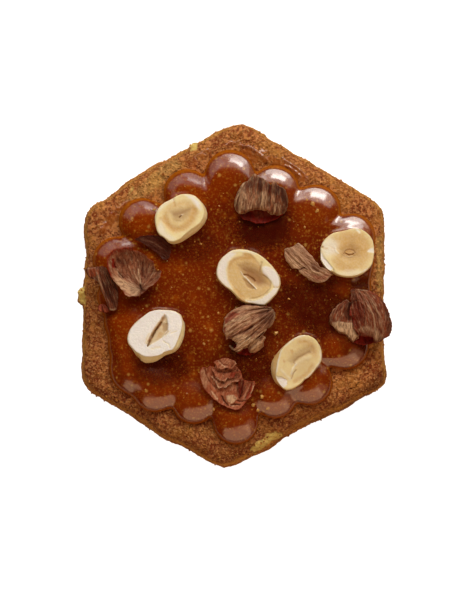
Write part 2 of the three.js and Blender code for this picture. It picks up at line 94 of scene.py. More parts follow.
# The halved kernels. face is the outline of the cut face and body that of the widest part below it, and wall how
# toasted the kernel's side is. A line of marks is: what it does, line or area, the width of its soft edge, amount,
# depth in millimetres, and places.
# Brown marks are partly the hollows' own colour and partly painted shade in them; dark marks are painted shade in
# the deepest cracks.
KERNELS = [
    {
        "node": "hazelnut_1", "middle": (181, 218), "at": (-12.0, 17.3), "turn": 30, "roll": -9, "pitch": -3,
        "height": 14.05, "wall": 0.35,
        "body": """
184.6,194.2 190.2,194.4 195.4,196 199.4,199.7 203.4,203.7 206.2,208.5 207.9,213.7 207.7,218.5 205.4,224.2
201.8,228.6 197.4,233 192.2,236.6 187.4,239.8 182.1,243 178.1,244.4 174.1,245.1 170.1,244.2 167.7,242.6
165.3,239.8 162.1,237.4 159.2,236.2 157.2,232.6 156,228.2 155,222.6 154.8,217.7 156,212.9 157.6,208.9
160,205.7 163.7,202.9 168.5,200.5 173.3,198 177.7,195.6 181.3,194.4
""",
        "face": """
184.6,194.4 190.2,194.7 195,196.6 198.8,200.3 202,204.5 203.8,209 204.4,213.7 203.6,218.6 200.4,223.6
195.6,227.2 190.4,230.8 185.4,234.8 181.4,238.8 177.8,241 174.1,242.6 170.3,242.4 167.9,241.4 165.5,239.2
162.3,236.8 159.6,235.6 157.6,232.2 156.4,228 155.4,222.6 155.2,217.7 156.4,213.1 158,209.2 160.4,206
164,203.2 168.7,200.8 173.5,198.3 177.9,195.9 181.4,194.7
""",
        "marks": """
toast area 7 .55 .12 164,212 163,221 168,229 176,233 186,231 194,224 198,214 194,205 184,201 173,204
toast line 5 .6 .1 165,217 168,225 173,230 180,230 187,226 192,219 194,211
toast line 3 .45 0 166,220 170,227 176,230
toast line 3 .5 0 161,219 164,222
toast line 4 .55 0 194,208 196,213
cream area 6 .45 -.05 172,208 184,205 190,210 188,220 180,226 172,224 168,216
brown area 7 .45 .12 170,212 182,208 191,209 189,216 183,221 174,221
brown line 3 .3 .04 174,215 180,214 189,210.5
brown line 1 .9 .3 179.4,217.8 181,216.6
white line 1 .35 -.08 181.6,215.6 183.6,214.8
brown line 1.2 .3 .05 176,221 181,221.6
brown line 1 .5 .2 173.2,199.4 173.6,200.8
toast line 2 .6 .1 173.4,199 174,203 175,207
white area 4 .85 0 185,195 194,197 200,203 201,211 197,207 191,200
white area 5 .5 0 157,230 161,221 166,232 176,240 170,241 163,237
white line 3 .4 0 158,212 164,205 173,200
""",
    },
    {
        "node": "hazelnut_2", "middle": (249, 278), "at": (3.6, 4.1), "turn": -40, "roll": 3, "pitch": 0,
        "height": 14.0, "wall": 0.5,
        "body": """
232.3,250 239.1,249.5 245.9,250 252.2,251.2 257.5,253.4 262.4,257.1 268.2,261.9 273,266.3 276.9,272.1
279.8,277.9 281,284.2 279.8,289.5 276.9,294.9 273,298.7 268.7,303.1 264.3,306.5 258.5,306 251.7,304.6
245.9,304.1 241,301.7 237.1,298.7 233.3,294.4 229.4,290.5 224.5,287.1 220.2,283.2 217.3,278.9 215.8,274
216.3,268.7 218.2,262.4 221.6,257.5 226,253.7 229.4,251.2
""",
        "face": """
232.5,250.6 239.1,250.1 245.8,250.6 252,251.8 257.2,254 262,257.7 267.7,262.5 272.4,266.9 276.2,272.5
279,278.1 280.1,284.2 278.9,289.2 276.1,294.3 272.3,298.1 268.1,302.3 264.1,305.5 258.6,305 251.9,303.6
246.3,303.1 241.6,300.8 237.8,297.9 234,293.7 230,289.9 225.1,286.5 220.9,282.7 218.1,278.6 216.6,274
217.1,269 218.9,262.8 222.2,258.1 226.4,254.4 229.7,251.9
""",
        "marks": """
toast area 3 .55 .14 230,263 234,259 241,257 244,254 250,255 255,259 258.5,263.4 261,267 261,271 262.4,275 \
267,278 270.6,283 270,288 267,293.4 262,296 257,299 252,299.7 245,299 241,297 236,291.5 232,287 228.4,280 \
227,273 228,267
toast line 3 .55 0 229,268 231,262 238,258.5 245,258.5
toast area 4 .75 0 243,254 251,254.6 254.6,259 247,260.5
toast area 5 .8 0 233,288 239,291 246,299 245,303 239,300
brown line 2 .4 .1 261.4,263 260.6,267 259.6,271.6
brown line 1.4 .4 .1 263,275.6 267,278 270.6,283 270.2,288.6 266,293.8 258,298 250,299.4
brown area 8 .45 .35 238,266 246,264 256,268 265,276 268,286 260,288 250,282 241,275
brown area 6 .5 .3 243,270 251,270 259,275 264,283 258,286 250,281
brown line 1.4 .75 .3 243.6,275 247.5,275.8 251.6,278 255,281.4
white line .9 .5 -.15 240.9,272.2 243.2,275.6
white line 1.5 .6 -.25 244.4,277 249,281.6 255.8,288.8
brown area 1.8 .45 .3 242.8,279.4 246.4,280.4 254.8,288.6 252.2,290.4 246.6,287
white area 2.2 .9 -.05 262,268 266,266.6 272,269 277,274 280,281 279,287 275,288 271,281 266,276.5 263,273
white area 3 .85 .05 217,264 222,257 230,252 236,254 228,262 226,270 227,280 232,289 225,286 218,279 216,271
white area 1.6 .8 .05 245,300 254,301.4 262,298.6 269,293 274,288 279,288 276,295 268,303 262,306 250,304
white line 2 .5 0 232,252 240,251.4 250,252.4 256,255
brown line .8 .35 .15 273,287.4 276,288 279,287
toast line 1.2 .5 0 247,303.4 247.4,300.4 251,300.6
""",
    },
    {
        "node": "hazelnut_3", "middle": (348, 253), "at": (26.3, 9.5), "turn": 0, "roll": -4, "pitch": -3,
        "height": 14.2, "wall": 0.5,
        "body": """
356.9,227.9 361.6,229.2 366.2,232.1 370,235.9 372.9,240.9 374.2,246.4 374.6,252.3 374,259 372.9,264.1
371.2,267.5 367.9,271.2 363.2,274.6 357.8,277.1 351.9,278.4 346.8,278.6 341.4,277.8 336.7,276.3 333,274.4
329.6,272.3 325.8,269.6 322,264.5 319.5,259.9 319.5,254.8 319.9,248.1 322,242.6 324.9,238.8 328.7,235.5
332.9,232.9 337.6,231.7 342.6,231 347.7,229.4 352.7,228.3
""",
        "face": """
356.9,228.5 361.4,229.8 365.8,232.6 369.5,236.3 372.3,241.2 373.5,246.5 373.9,252.3 373.2,258.8 372.1,263.7
370.3,266.9 367,270.4 362.5,273.6 357.4,276 351.8,277.2 346.8,277.4 341.6,276.6 337.1,275.1 333.6,272.6
330.1,271.4 326.6,268.8 322.9,264 320.6,259.7 320.4,254.8 320.6,248.3 322.6,243 325.4,239.3 329.1,236.1
333.2,233.5 337.8,232.3 342.8,231.6 347.8,230 352.8,228.9
""",
        "marks": """
toast area 12 .62 .1 330,238 345,231 362,232 371,242 371,258 362,270 348,274 335,268 334,254 331,246
toast area 8 .4 .1 344,236 360,236 368,246 364,258 352,262 342,256 340,246
toast line 6 .4 0 335,262 342,268 352,270
brown area 8 .28 .25 340,250 348,245 358,249 358,257 349,261 341,258
brown line 5 .15 0 352,240 353,248
brown line 1 .5 .12 343,254 345.2,251 349.2,249.8 353.2,251 355,253.6
brown line 1.1 1 .25 345.4,254 348.6,255.4 352,254.8 353.6,253.8
toast line 1.6 .8 .05 346.4,252.4 351.4,252.4
brown line 1 .35 .05 342,255.4 348.8,258 355,256
white line .8 .3 -.1 344.6,256.4 348.8,257.4 352.6,256.8
white area 1.2 1 .3 320.4,252 323.9,258 328.1,263 332.3,267.9 330,272.4 324.5,268.7 321,263.7 319.6,257.8
white area 8 .55 0 321,243 330,238 338,244 336,254 326,257 320,250
white area 5 .35 0 336,274 350,277 362,273 358,270 346,271
brown line 1.4 .9 .25 321.4,247.2 322.8,247.8
toast line 1.6 .6 0 322.4,247.8 327,249.2
white area 1.4 .75 .08 367,252 369.6,249 373.4,248.2 373.6,254 370.2,253.2
white line 2 .8 .08 356.6,230 359.4,233
white line 2 .7 .05 363.4,272.6 367.6,269.6
white line 1.4 .5 -.08 334.8,248 336,252.4 338.2,253.6
brown line .9 .7 .4 333.6,270 334,274
toast line .8 .3 .04 357,246 364,241 369,238
toast line .8 .3 .04 360,252 370,250
toast line .8 .3 .04 336,250 328,246
""",
    },
    {
        "node": "hazelnut_4", "middle": (157, 335), "at": (-17.9, -9.6), "turn": 34, "roll": -12, "pitch": -5,
        "height": 14.3, "wall": 0.08,
        "body": """
159.1,309.5 164.9,309.9 171.1,310.1 176,311.5 181.4,315.1 183.2,319.5 185.4,323.1 186.1,328 185.4,336.5
183.2,343.2 179.6,348.5 175.1,352.6 171.1,354.8 166.6,356.1 162.2,358.8 157.7,361.5 153.3,363.3 148.8,363.9
144.8,363.7 141.2,361.5 139,358.8 135.8,356.6 134.1,353 132.7,350.3 128.3,344.5 127.1,339.6 127.8,334.3
130,328.9 134.5,323.5 139.9,318.6 144.3,315.1 149.2,311.5 154.1,310.1
""",
        "face": """
159.1,310 164.9,310.4 171,310.7 175.6,312.1 180.6,315.6 182.2,320 182.8,324 182,329.8 180.2,335.6 178,341
175.4,346.6 173,350.2 168.9,351.4 164.9,352.4 161.3,355.2 156.8,356.6 150.6,357.2 145.7,357.2 141.6,355.8
139.4,353.9 136.6,352.6 134.5,350.6 132.9,349 128.9,344 127.7,339.6 128.4,334.4 130.6,329.2 135,323.9
140.3,319.1 144.7,315.6 149.5,312.1 154.3,310.7
""",
        "marks": """
white area 1 1 0 120,300 192,300 192,366 120,366
tan area 2 .75 .45 164.3,314.6 166.6,318 168.2,325 167.4,331 162,338.6 155,342.6 150,345.6 148,347 \
147.4,344 149.6,339 153,332 158,325 162,320
brown area 2.4 .45 .15 163,324 167.6,324 167.6,331 163.6,333 162.6,328
toast area 2.4 .6 0 159,332 165,333 161,338.6 156,340
brown line 1.2 .5 0 165.4,334.6 168.6,331.4
brown line 3 .75 .2 163,319.4 160,324.6 156,330 152.4,336 149.6,341.4
toast line 3.4 .5 0 160.4,322 156.4,328 152.6,334 149.4,340
brown line 1.5 1 .35 161.4,323 157.4,328.4 153.6,334.4 150.4,340 148,346.4
dark line 1.1 .8 .3 157.4,329 154.4,333.8 152.4,337.6
dark line .9 .7 .2 149.4,343 148,346.6
white line .8 .5 -.1 151.6,336.6 150.4,339.6
toast line 2 .5 0 149,334.4 147,338.4 146.4,343.2
toast line 1.6 .4 0 165.4,336 170.4,331.4
brown line 1.2 .9 .2 139,355.6 139.8,356.8
toast area 1.6 .8 0 134.4,353 139,354.6 141.6,358 139.6,360.4 135.4,356.8
cream line 1.2 .5 .12 163.8,341.6 168.8,345 170.4,349
cream line 1.4 .5 .08 171.6,333.6 176.2,331.8
cream line 2 .4 .06 152,349 160,347.6
""",
    },
    {
        "node": "hazelnut_5", "middle": (297, 362), "at": (14.6, -15.7), "turn": 58, "roll": 11, "pitch": -4,
        "height": 13.95, "wall": 0.75,
        "body": """
304.1,334.6 308.8,335.3 313.4,337.2 317.2,340.5 320.1,345.6 321.6,351 322.2,356.1 321.8,361.1 319.3,365.8
315.5,370.4 311.7,375.5 308.8,378.4 304.6,380.5 302.5,383.5 298.7,386.4 294.5,388.9 290.3,390.6 286,391
282.7,389.3 278.9,386.4 275.1,383.5 272.2,379.2 270.5,374.6 269.6,369.6 270.1,364.9 271.7,359.9 274.3,355.7
278.9,350.6 283.1,346 288.6,341.4 293.6,338 298.7,335.5
""",
        "face": """
304.1,335.2 308.6,335.9 313,337.8 316.7,341 319.5,345.9 320.9,351.1 321.5,356.1 321,360.9 318.6,365.4
314.9,369.9 311.1,374.9 308.3,377.7 304.1,379.8 301.9,382.9 298.3,385.6 294.2,388.1 290.1,389.8 286.2,390.2
283.1,388.3 279.6,384.7 277.1,380.7 275.5,376.6 275.7,372.3 276.3,367.2 277.3,361.8 278.6,357 280.1,352.1
281.8,349.3 284.6,346.2 289,342 293.9,338.6 298.8,336.1
""",
        "marks": """
toast area 8 .08 .12 282,358 290,346 303,339 314,342 318,353 314,364 307,375 298,383 289,385 281,376 280,365
toast line 5 .5 0 300,342 308,343 313,348 315,356
toast line 4 .6 0 312,366 308,372 301,378 295,381
toast line 2.6 .7 0 291.4,351.2 292,352.4
toast line 2 .6 0 283.6,361 284.2,362
toast line 2 .5 0 304,341.4 305,342
brown area 7 .34 .22 288,362 294,354 303,348 312,347 314,353 306,357 298,361 292,367
brown line 2.4 .4 .12 294,361.6 298,358 303,355.4 309,352.4
brown line 1 .5 .1 293.6,362.4 294.8,364.6
white line 3 .2 -.06 296.4,364 302.2,360 309,357.6
brown line 1.2 .6 .12 291.6,378.8 292.4,375 295.8,370.4
white line 2 .5 -.1 291.4,374 293.4,368 296,364.6
white line 2 .35 -.06 281,370 285.6,375 290,379.4
brown area 9 .12 .05 298,362 310,358 312,366 304,374 296,376
white area 1.2 1 .25 275.5,376.3 279.7,377.1 283.1,377.6 286.9,380.5 286.9,383.9 284.4,387.4 281.8,389 \
278.5,384.7 276.6,380.7
brown line 1.2 .9 .2 274.6,377 276.6,383 278.6,386
white line 2.4 .7 0 281,349.6 278.4,357 277.4,364 276.4,371
white line 2.6 .7 0 305,380.6 311,375 316.6,368.6 321.4,361 321,352
white line 2.6 .5 0 284,346 294,338.6 304,335.6
""",
    },
]

# The torn skins, each of one or more thin sheets. outline is the sheet's edge and middle a place inside it. poles
# are the two ends that its streaks run between. height is that of its middle, and along and across are how
# sharply it curves down (or up, below 0) on and off the line between the poles, in 1/mm; lean is its slope to the
# right and to the back, and lip how far its edge turns up or down.
SKINS = {
    "skin_1": [
        {
            "outline": """
238.3,214.1 243.4,219.7 251.1,221.4 255.8,224 264.8,223.3 275,220.1 282.7,214.8 283.6,207.7 270,203 256,203
241,206
""",
            "middle": (262, 213), "poles": ((262, 150), (262, 260)), "height": 11.75, "along": -0.03,
            "across": -0.02, "lean": (0, -0.02), "lip": 0.2, "streaks": 9, "red": 1.0, "dark": 0.3,
            # The dark area at its left end is painted shadow under the sheet above.
            "marks": """
dark area 2 0.5 0 238,213 244,221 252,222 251,212 247,208
dark line 1.5 0.35 0 256,210 256.5,223
pale area 3 0.25 0 252,211 268,211 270,216 256,219
""",
        },
        {
            "outline": """
254.5,174.2 259.6,177.4 263.5,179.3 267.3,182.5 270.5,185.6 269.6,193.2 271.6,186.4 273.9,181.5 276.7,183.8
279.7,187 282.7,187.2 285.3,190.2 287.2,194.5 288.3,201.8 288,206 286.5,211.2 282.7,214.6 277.1,216.1
273.3,214.8 270.3,215.4 269,213.7 266.5,211.8 262.2,211.2 256.2,210.1 253.2,210.7 250.2,211.4 246.8,212.9
243.8,214.6 238.3,214.1 235.1,209.9 234,206 234.4,201.3 237,192.8 242.1,184.2 245.1,182.1 247.2,181.7
250.6,177.4
""",
            "middle": (261, 199), "poles": ((270, 110), (258, 330)), "height": 15.3, "along": 0.028,
            "across": 0.055, "lean": (0, 0.05), "lip": -0.9, "streaks": 15, "pale": 0.06, "dark": 0.08,
            "rim": "pale",
            "marks": """
dark area 5 0.55 0 250,175 262,178 272,184 284,187 289,198 286,206 278,196 268,193 256,190 246,190 243,184
dark line 3 0.3 0.1 277,188 277,200
dark line 3 0.3 0.1 284,190 285,206
dark line 1.2 0.35 0.12 250,197 249,209
dark line 1.2 0.35 0.12 265,198 264,207
dark line 1.4 0.6 0.35 241,188 237.4,202 236.6,211
pale line 1.1 1 -0.25 244,183.4 240,191 236.4,201 234.6,207.4
pale area 4 0.2 0 245,195 258,193 266,194 268,211 256,209 243,212
pale line 1.3 0.9 -0.15 242.6,203 239.8,212.6
pale line 1.3 0.8 -0.12 275.6,205 273.6,214.4
pale line 1.1 0.6 -0.1 280.6,206 278.4,215
pale line 1.2 0.5 -0.1 262,193 260.6,209.6
red line 0.9 1 0.2 270.4,187 269.4,193.4
""",
        },
    ],
    "skin_2": [
        {
            "outline": """
133.9,239.2 140.2,236.3 149.4,235.2 157.4,235.5 164.9,238.5 170.9,245.4 171.6,250.8 169.7,257.9 166,260.4
162.6,259.3 159.1,255.6 151.7,249.2 145.4,245.2 140.2,242.1 135.6,240.4
""",
            # Its darkness all over is partly the skin's own colour and partly painted shade from the nut above it.
            "middle": (157.5, 245.5), "poles": ((120, 232), (182, 268)), "height": 12.0, "along": -0.012,
            "across": -0.06, "lean": (0, 0.12), "lip": 0.15, "streaks": 8, "red": 0.3, "dark": 1.0,
            "stripes": 0.1,
            "marks": """
red line 1.1 1 -0.1 137,238 144,236 152,235.6 159,236.4 165,239.4 170,245
pale line 1.8 0.3 0 141,240 149,241 156,244 162,249
dark area 2.5 0.3 0 158,249 168,246 171,253 167,260 162,257
""",
        },
    ],
    "skin_3": [
        {
            "outline": """
113.8,250.4 117.2,249.2 121.8,249 127.6,247.5 132.1,248.1 133.9,250.4 136.7,251 141.3,253 145.4,255.6
148.2,258.4 153.4,261.9 155.1,268.2 156.8,270.8 160.9,270.8 162,272.2 160.3,277.4 158,281.4 153.4,285.4
148.8,287.7 147.6,290 145.9,291.7 142.5,294 139.6,296.6 136.7,296.9 132.1,296.3 129.9,297.7 125.8,295.7
122.4,291.1 120.1,287.7 116.1,283.7 111.5,277.9 108.6,271.6 107.2,264.7 108,259 110.9,253.8
""",
            "middle": (134, 274), "poles": ((141, 289), (128, 200)), "height": 11.9, "along": -0.055,
            "across": -0.05, "lean": (-0.03, 0.04), "lip": 0.7, "streaks": 22, "pale": 0.2, "red": 0.22,
            "stripes": 0.45,
            "marks": """
red line 2 0.9 0 110,256 114,251.5 120,250 127,249 133,250.5
red line 1.6 0.6 0 109,258 108.6,266 111,275 116,282
orange line 0.9 0.85 -0.15 108.6,262 109.4,256.6 113.4,251.6 120,249.8 127,248.4 133,251 141,254.4 \
148,259.4 153.6,263.6
red line 1.5 0.5 0.1 112.6,255 118,252.6 126,251.6
dark line 1 1 0.5 114.6,264.8 116.4,269.4 119.4,274 123.6,277.8
red area 0.9 0.9 0.3 111.6,259 114.4,259.5 116,268 113,268
pale line 1 0.5 -0.15 124,280 119.4,275 116.6,269
pale line 1.3 0.95 -0.2 141,284 139.4,277 138.6,270
pale line 1 0.45 -0.1 140.4,284 136.4,278 134,271
dark line 2 0.75 0.12 142.4,276 142.6,268 142.8,262
dark area 3 0.35 0 116,254 126,252 134,254 132,264 122,266 116,262
pale area 3 0.65 0 112,276 122,280 134,284 140,290 138,296 130,297 122,291 114,282
dark line 1.6 0.8 0.4 140.4,285.6 141.6,290 144,291.4
red line 1.2 0.5 0.1 123,291 127,294 131,296
pale line 0.8 0.9 0 124.6,282.4 126.4,284.2
pale line 0.7 0.45 -0.1 153.6,262.6 155.4,270 150,279
pale line 0.7 0.4 0 161.4,271.8 159.6,277.6
""",
        },
    ],
    "skin_4": [
        {
            "outline": """
86,268.3 87.6,267.2 90.6,267 94.9,267.2 99.9,266.5 102.6,266 106.6,268.3 107.9,271.3 110.5,276.6 112.9,280.9
115.5,285.2 118.5,292.2 118.7,297.2 117.7,301.5 118,305.5 117.5,309.4 113.9,311.6 110.2,310.9 108.5,308.4
106.9,303.8 104.6,298.2 102.6,293.2 100.6,287.9 99.1,282.6 97.3,277.6 95.6,275 93.3,277.9 90.6,278.3
88.6,276.6 86.7,273.6 85.7,270.6
""",
            "middle": (106, 285), "poles": ((84, 232), (126, 345)), "height": 12.75, "along": 0.004,
            "across": 0.09, "lean": (0.03, 0.0), "lip": -0.3, "streaks": 12, "red": 0.05, "dark": 0.55,
            "marks": """
orange area 2 0.75 0 86,268 96,267 98,275 93,278 88,276
pale line 1.2 0.5 0 88,268.4 95,268
dark line 1 0.9 0.1 86,269 86.8,273.6 89.4,278
dark line 0.9 0.6 0.1 91.6,271 94,277
orange line 1.4 0.8 -0.05 97.6,271 100,281 103.6,293 106,302
pale line 1.1 0.5 -0.12 97,273 99.4,281 102.4,289
pale line 1 0.25 -0.05 102.4,268 106,277 109.4,285
dark area 3 0.45 0 106,285 114,283 118,293 117,304 110,303 105,294
pale line 1.3 0.9 -0.1 110.4,309.6 113,310.4 116.4,309
red line 1 0.5 0 105.6,296 108,302 110,308
""",
        },
        {
            "outline": """
97.6,307.1 99.9,304.5 102.6,303.8 105.2,304.8 108.2,308.1 110.2,311.3 107.2,313.1 103.9,312.8 99.9,311.6
97.9,309.8
""",
            "middle": (103.4, 308.4), "poles": ((98, 296), (108, 322)), "height": 12.1, "along": 0.06,
            "across": 0.1, "lean": (0.02, -0.03), "lip": -0.2, "streaks": 5, "pale": 0.1, "red": 0.6,
            "orange": 0.35,
            "marks": """
dark line 1.2 0.7 0.1 101.4,304.6 102.6,309.6 104,312.6
dark area 1 0.4 0 102,304 105.6,305 109.6,311 106.4,311
orange line 1.4 0.9 0 99.2,308.4 101.2,311.2
orange line 1.2 0.9 0 104,309.4 106.6,312.4
""",
        },
    ],
    "skin_5": [
        {
            "outline": """
284.4,248.9 286.7,248.2 292.2,247.1 295.5,244.9 297.4,243 298.9,243.4 302.9,246.4 305.9,250.1 308.9,253.4
311.8,256 313.3,258.2 315.1,261.5 317.7,263.4 318.5,266 321.1,268.9 324.4,269.7 328.1,271.9 331.8,271.3
333.6,269.7 334,273 331.4,276 328.8,277.8 325.9,281.1 322.9,283 315.5,283 311.8,280.8 308.9,280.4
307.4,278.5 302.9,275.2 300,273.4 298.1,271.1 298.7,269.8 295.9,268.9 292.6,268.9 290,266 288.1,263.4
285.5,260.4 285.5,258.9 284.1,255.6 284.8,252.3
""",
            "middle": (306, 265), "poles": ((272, 228), (352, 284)), "height": 13.4, "along": 0.004,
            "across": 0.05, "lean": (0.12, 0.05), "lip": -0.35, "streaks": 12, "pale": 0.72, "red": 0.18,
            "orange": 0.3,
            "rim": "pale", "stripes": 0.3,
            # Its dark area at the right, by the nut, is painted shadow cast by the nut, over a real dip.
            "marks": """
pale area 2.4 0.55 0 286,256 294,257 303,266 302,268 294,268 288,262
pale line 0.9 1 -0.1 299.4,273.4 307.4,279.6 315.6,282.8 322.9,282.6 328.8,277.6
dark line 0.8 1 0.4 299,270 301.6,268.8 304.6,268
dark area 2.6 0.4 0.35 309,262 315,263 319,267 321,270 318,273 312,270
red area 2 0.3 0 310,275 322,276 330,274 326,280 316,281
dark line 2.2 0.22 0.1 297,245.4 305,254 312,262
dark line 1.4 0.45 0.12 290,249 296,256 302,262 310,270
dark line 1 0.3 0.12 286,251 292,258 299,265
pale line 1.2 0.5 -0.12 293.4,250 300,257 306,264 313,272 322,275
dark line 1 0.5 0 331,274 333.6,271
""",
        },
    ],
    "skin_6": [
        {
            "outline": """
352.2,342 357.9,344.4 362.6,345.6 369.2,344.7 374.9,342.3 377.7,337.3 369.2,331.6 359.8,333.9 353,337.7
""",
            "middle": (364, 338.6), "poles": ((350, 300), (372, 360)), "height": 11.7, "along": -0.03,
            "across": -0.02, "lean": (0, 0.02), "lip": 0.1, "streaks": 6, "red": 1.0, "dark": 0.25,
            "marks": """
dark line 2.6 0.6 0 356,343 364,343.4 373,339.6
""",
        },
        {
            "outline": """
348.9,301.9 347,299.3 343.2,301.2 340.9,302.9 336.6,306.2 333.8,309 331.4,311.8 329.1,317 329.3,321.8
330.7,325.1 332.1,325.5 334.7,329.3 338.5,333.1 340.4,334 342.3,333.6 344.7,334.5 348.4,338.7 352.7,342.6
356,340.6 359.4,337.4 358.4,326.5 356.5,312.3 353,303
""",
            "middle": (345, 319), "poles": ((352, 292), (348, 368)), "height": 13.1, "along": 0.012,
            "across": 0.05, "lean": (0.05, 0.03), "lip": -0.3, "streaks": 12, "red": 0.2, "dark": 0.12,
            "rim": "pale",
            "marks": """
pale area 1.2 1 -0.15 332,323 338,321.5 345,323 352,323 353,330 358,336 353,341.6 346,334.5 338,331.5 333,327
dark area 2.4 0.6 0.15 347,301 351,304 349,313 352,321 346,321 343,312
pale line 1 0.4 0 334.8,309 331.6,315 330,322
pale line 1 0.3 -0.1 343.4,304 341.6,311 342,320
dark line 0.9 0.35 0.12 334,311 331.4,318 331.6,324
""",
        },
        {
            "outline": """
350.3,290.1 351.3,289.2 356.9,288.5 360.7,289.7 366.8,290.1 372,292 377.2,295.3 381.5,299.6 385.2,304.3
388.5,311.4 390.4,318 392.1,324.1 391.4,330.2 390,335 387.1,337.8 384.3,338.7 381.5,341.6 377.7,343
373.4,343.7 375.6,339.4 373.6,337.6 366.8,337.3 359.8,336.4 357.9,335 355,330.2 352.9,328.4 352.7,321.8
352.2,318 350.3,317 348.7,314.7 348.9,310.4 350.8,304.8 350.3,302.9 349.8,298.2 350.6,293.4
""",
            "middle": (369, 315), "poles": ((353, 284), (372, 352)), "height": 15.3, "along": 0.03,
            "across": 0.07, "lean": (0.03, 0.0), "lip": -0.8, "streaks": 18, "red": 0.22, "dark": 0.15,
            "marks": """
dark line 0.9 1 0.3 351.4,303.6 354,301.4 358.4,300.4
red area 1 0.4 0.12 353,304 359,302 363.4,309 363.4,320 361,331 358.4,334.6 354,328 352.6,318
dark area 1.6 0.3 0 353,304 359,302 363.4,309 363.4,320 357,322
dark line 1.1 0.7 0.3 362.6,306 364.2,314 363.8,324
red line 1.4 1 0 349.4,310 350.8,316.4 354,320
pale line 1.4 0.55 0 359,322 360.4,328 357.6,332
orange line 0.8 0.9 0 362.6,324 360.6,330 358.8,334.4
pale line 1.4 0.6 -0.1 368,306 372.6,316 375,328 376.4,340
pale line 1.2 0.35 -0.1 358,292 366,296 373,304 380,318 383,334
red area 1.6 0.5 0 359,333 366,330 374,333 374.6,338 366,337
pale area 3.4 0.5 0 356,330 366,326 378,332 384,336 378,342 372,338
dark area 2.4 0.4 0 384,304 390,316 392,326 389,336 385,332 385,318
pale line 0.9 0.9 0 357,289.6 362,290.4 367,290.8
dark line 1.2 0.45 0.12 370.6,305 376.4,316 379,330
""",
        },
    ],
    "skin_7": [
        {
            "outline": """
232.4,349.4 237,353.8 243.3,355.4 248.8,355.4 253.6,354.4 257.5,351.8 256,344 245,342 234,344.6
""",
            "middle": (245.5, 349), "poles": ((262, 300), (232, 390)), "height": 11.7, "along": -0.02,
            "across": -0.02, "lean": (0, 0.02), "lip": 0.15, "streaks": 6, "red": 1.0, "dark": 0.15,
            "marks": """
""",
        },
        {
            "outline": """
223.9,318.6 227.1,314.2 231,311.5 234.6,309.1 239.4,307.1 243.3,305.3 246.5,305.1 252.4,305.7 257.5,306.1
263.5,306.7 267.4,307.1 270.6,307.7 273.4,309.9 274.9,312.3 275.3,316.6 274.5,321 273.4,323.7 271,326.9
268.6,328.5 267,328.7 266.2,331.2 263.9,333.6 262.7,336.8 265.1,336.8 266,338 265.4,339.5 263.5,341.9
263.5,347.1 260.7,349.4 257.5,351.8 254.4,353.6 252.4,353.4 248.8,351.8 248.1,348.2 245.7,348.6 243.3,349
240.9,351 237.4,353.2 235.4,352.2 233.8,350.2 235,348.8 236.8,346.7 235.8,343.9 233.8,341.5 231.4,339.5
229.5,338.8 227.1,339.5 225.5,341.1 225.1,335.6 223.9,333.2 222.3,329.7 223.5,327.3 223.9,322.1
""",
            "middle": (248, 328), "poles": ((276, 309), (200, 362)), "height": 15.1, "along": 0.022,
            "across": 0.07, "lean": (0.04, 0.04), "lip": -0.7, "streaks": 16, "pale": 0.42, "red": 0.16,
            "orange": 0.12,
            "rim": "pale", "stripes": 0.6,
            "marks": """
red area 1.6 0.55 0 224,320 232,312 240,314 232,320 225,325
red line 1 0.7 0 239,306.6 248,305.4 258,306.2 268,307.4
pale line 1.5 0.95 -0.15 249,316.6 240,320 232,322 225,326
pale line 1.7 0.7 -0.1 251,320 243,326 234,332 226,335
dark line 2 0.6 0.2 252,327 243,332 235,336 228,338
pale area 2.4 0.85 0 230,339 240,335 250,335 252,342 246,346 238,348 235,342
pale line 1.1 0.95 -0.18 267,329.4 256,337 246,346 237,352
dark line 1 0.7 0.25 263.4,333 254,341 248,346.4
dark line 0.9 0.45 0.15 262,337 253,346
dark area 3.4 0.4 0 262,309 270,310 274,316 270,325 261,325 258,316
dark line 1 0.5 0.15 268.8,309 266.6,313
pale line 0.9 0.4 0 272.6,310 274.4,315 273.4,321
pale area 2 0.65 0 250,341 258,338 262,343 258,350 251,351
red line 1 0.8 0 224.6,328 224.4,334 226,340
pale line 0.9 0.85 0 252.6,352.8 257,350.6 262.4,346.6
dark line 1.6 0.3 0.08 256,332 250,337 246,340
""",
        },
        {
            "outline": "228.5,345.9 229.9,344.7 232.6,346.6 235.6,349.4 233.6,351 231,349",
            "middle": (231.8, 348), "poles": ((222, 340), (244, 358)), "height": 12.3, "along": 0.0,
            "across": 0.1, "lean": (0, 0), "lip": -0.1, "streaks": 3, "pale": 0.6, "red": 0.1,
            "marks": """
""",
        },
    ],
    "skin_8": [
        {
            "outline": """
203.7,367.4 207.2,368.3 210,366.1 222,372 240.6,371.3 242.5,377.9 244,380 247.9,381.3 254.4,381.3
255.3,383.5 252.7,391.3 251,396.1 247.1,400.8 244,404.7 239.3,409.5 235.4,409.9 231,409.1 226.7,407.3
223.2,405.2 220.2,403.9 217.6,401.7 213.7,399.1 210.2,395.6 206.3,391.7 203.7,387.8 202,383.5 200.2,378.3
199.8,372.2 200.7,369.2
""",
            "middle": (227, 391), "poles": ((246, 350), (222, 420)), "height": 12.0, "along": -0.02,
            "across": -0.035, "lean": (0.0, 0.03), "lip": 0.35, "streaks": 10, "pale": 0.12, "red": 0.12,
            "orange": 0.5, "stripes": 0.15,
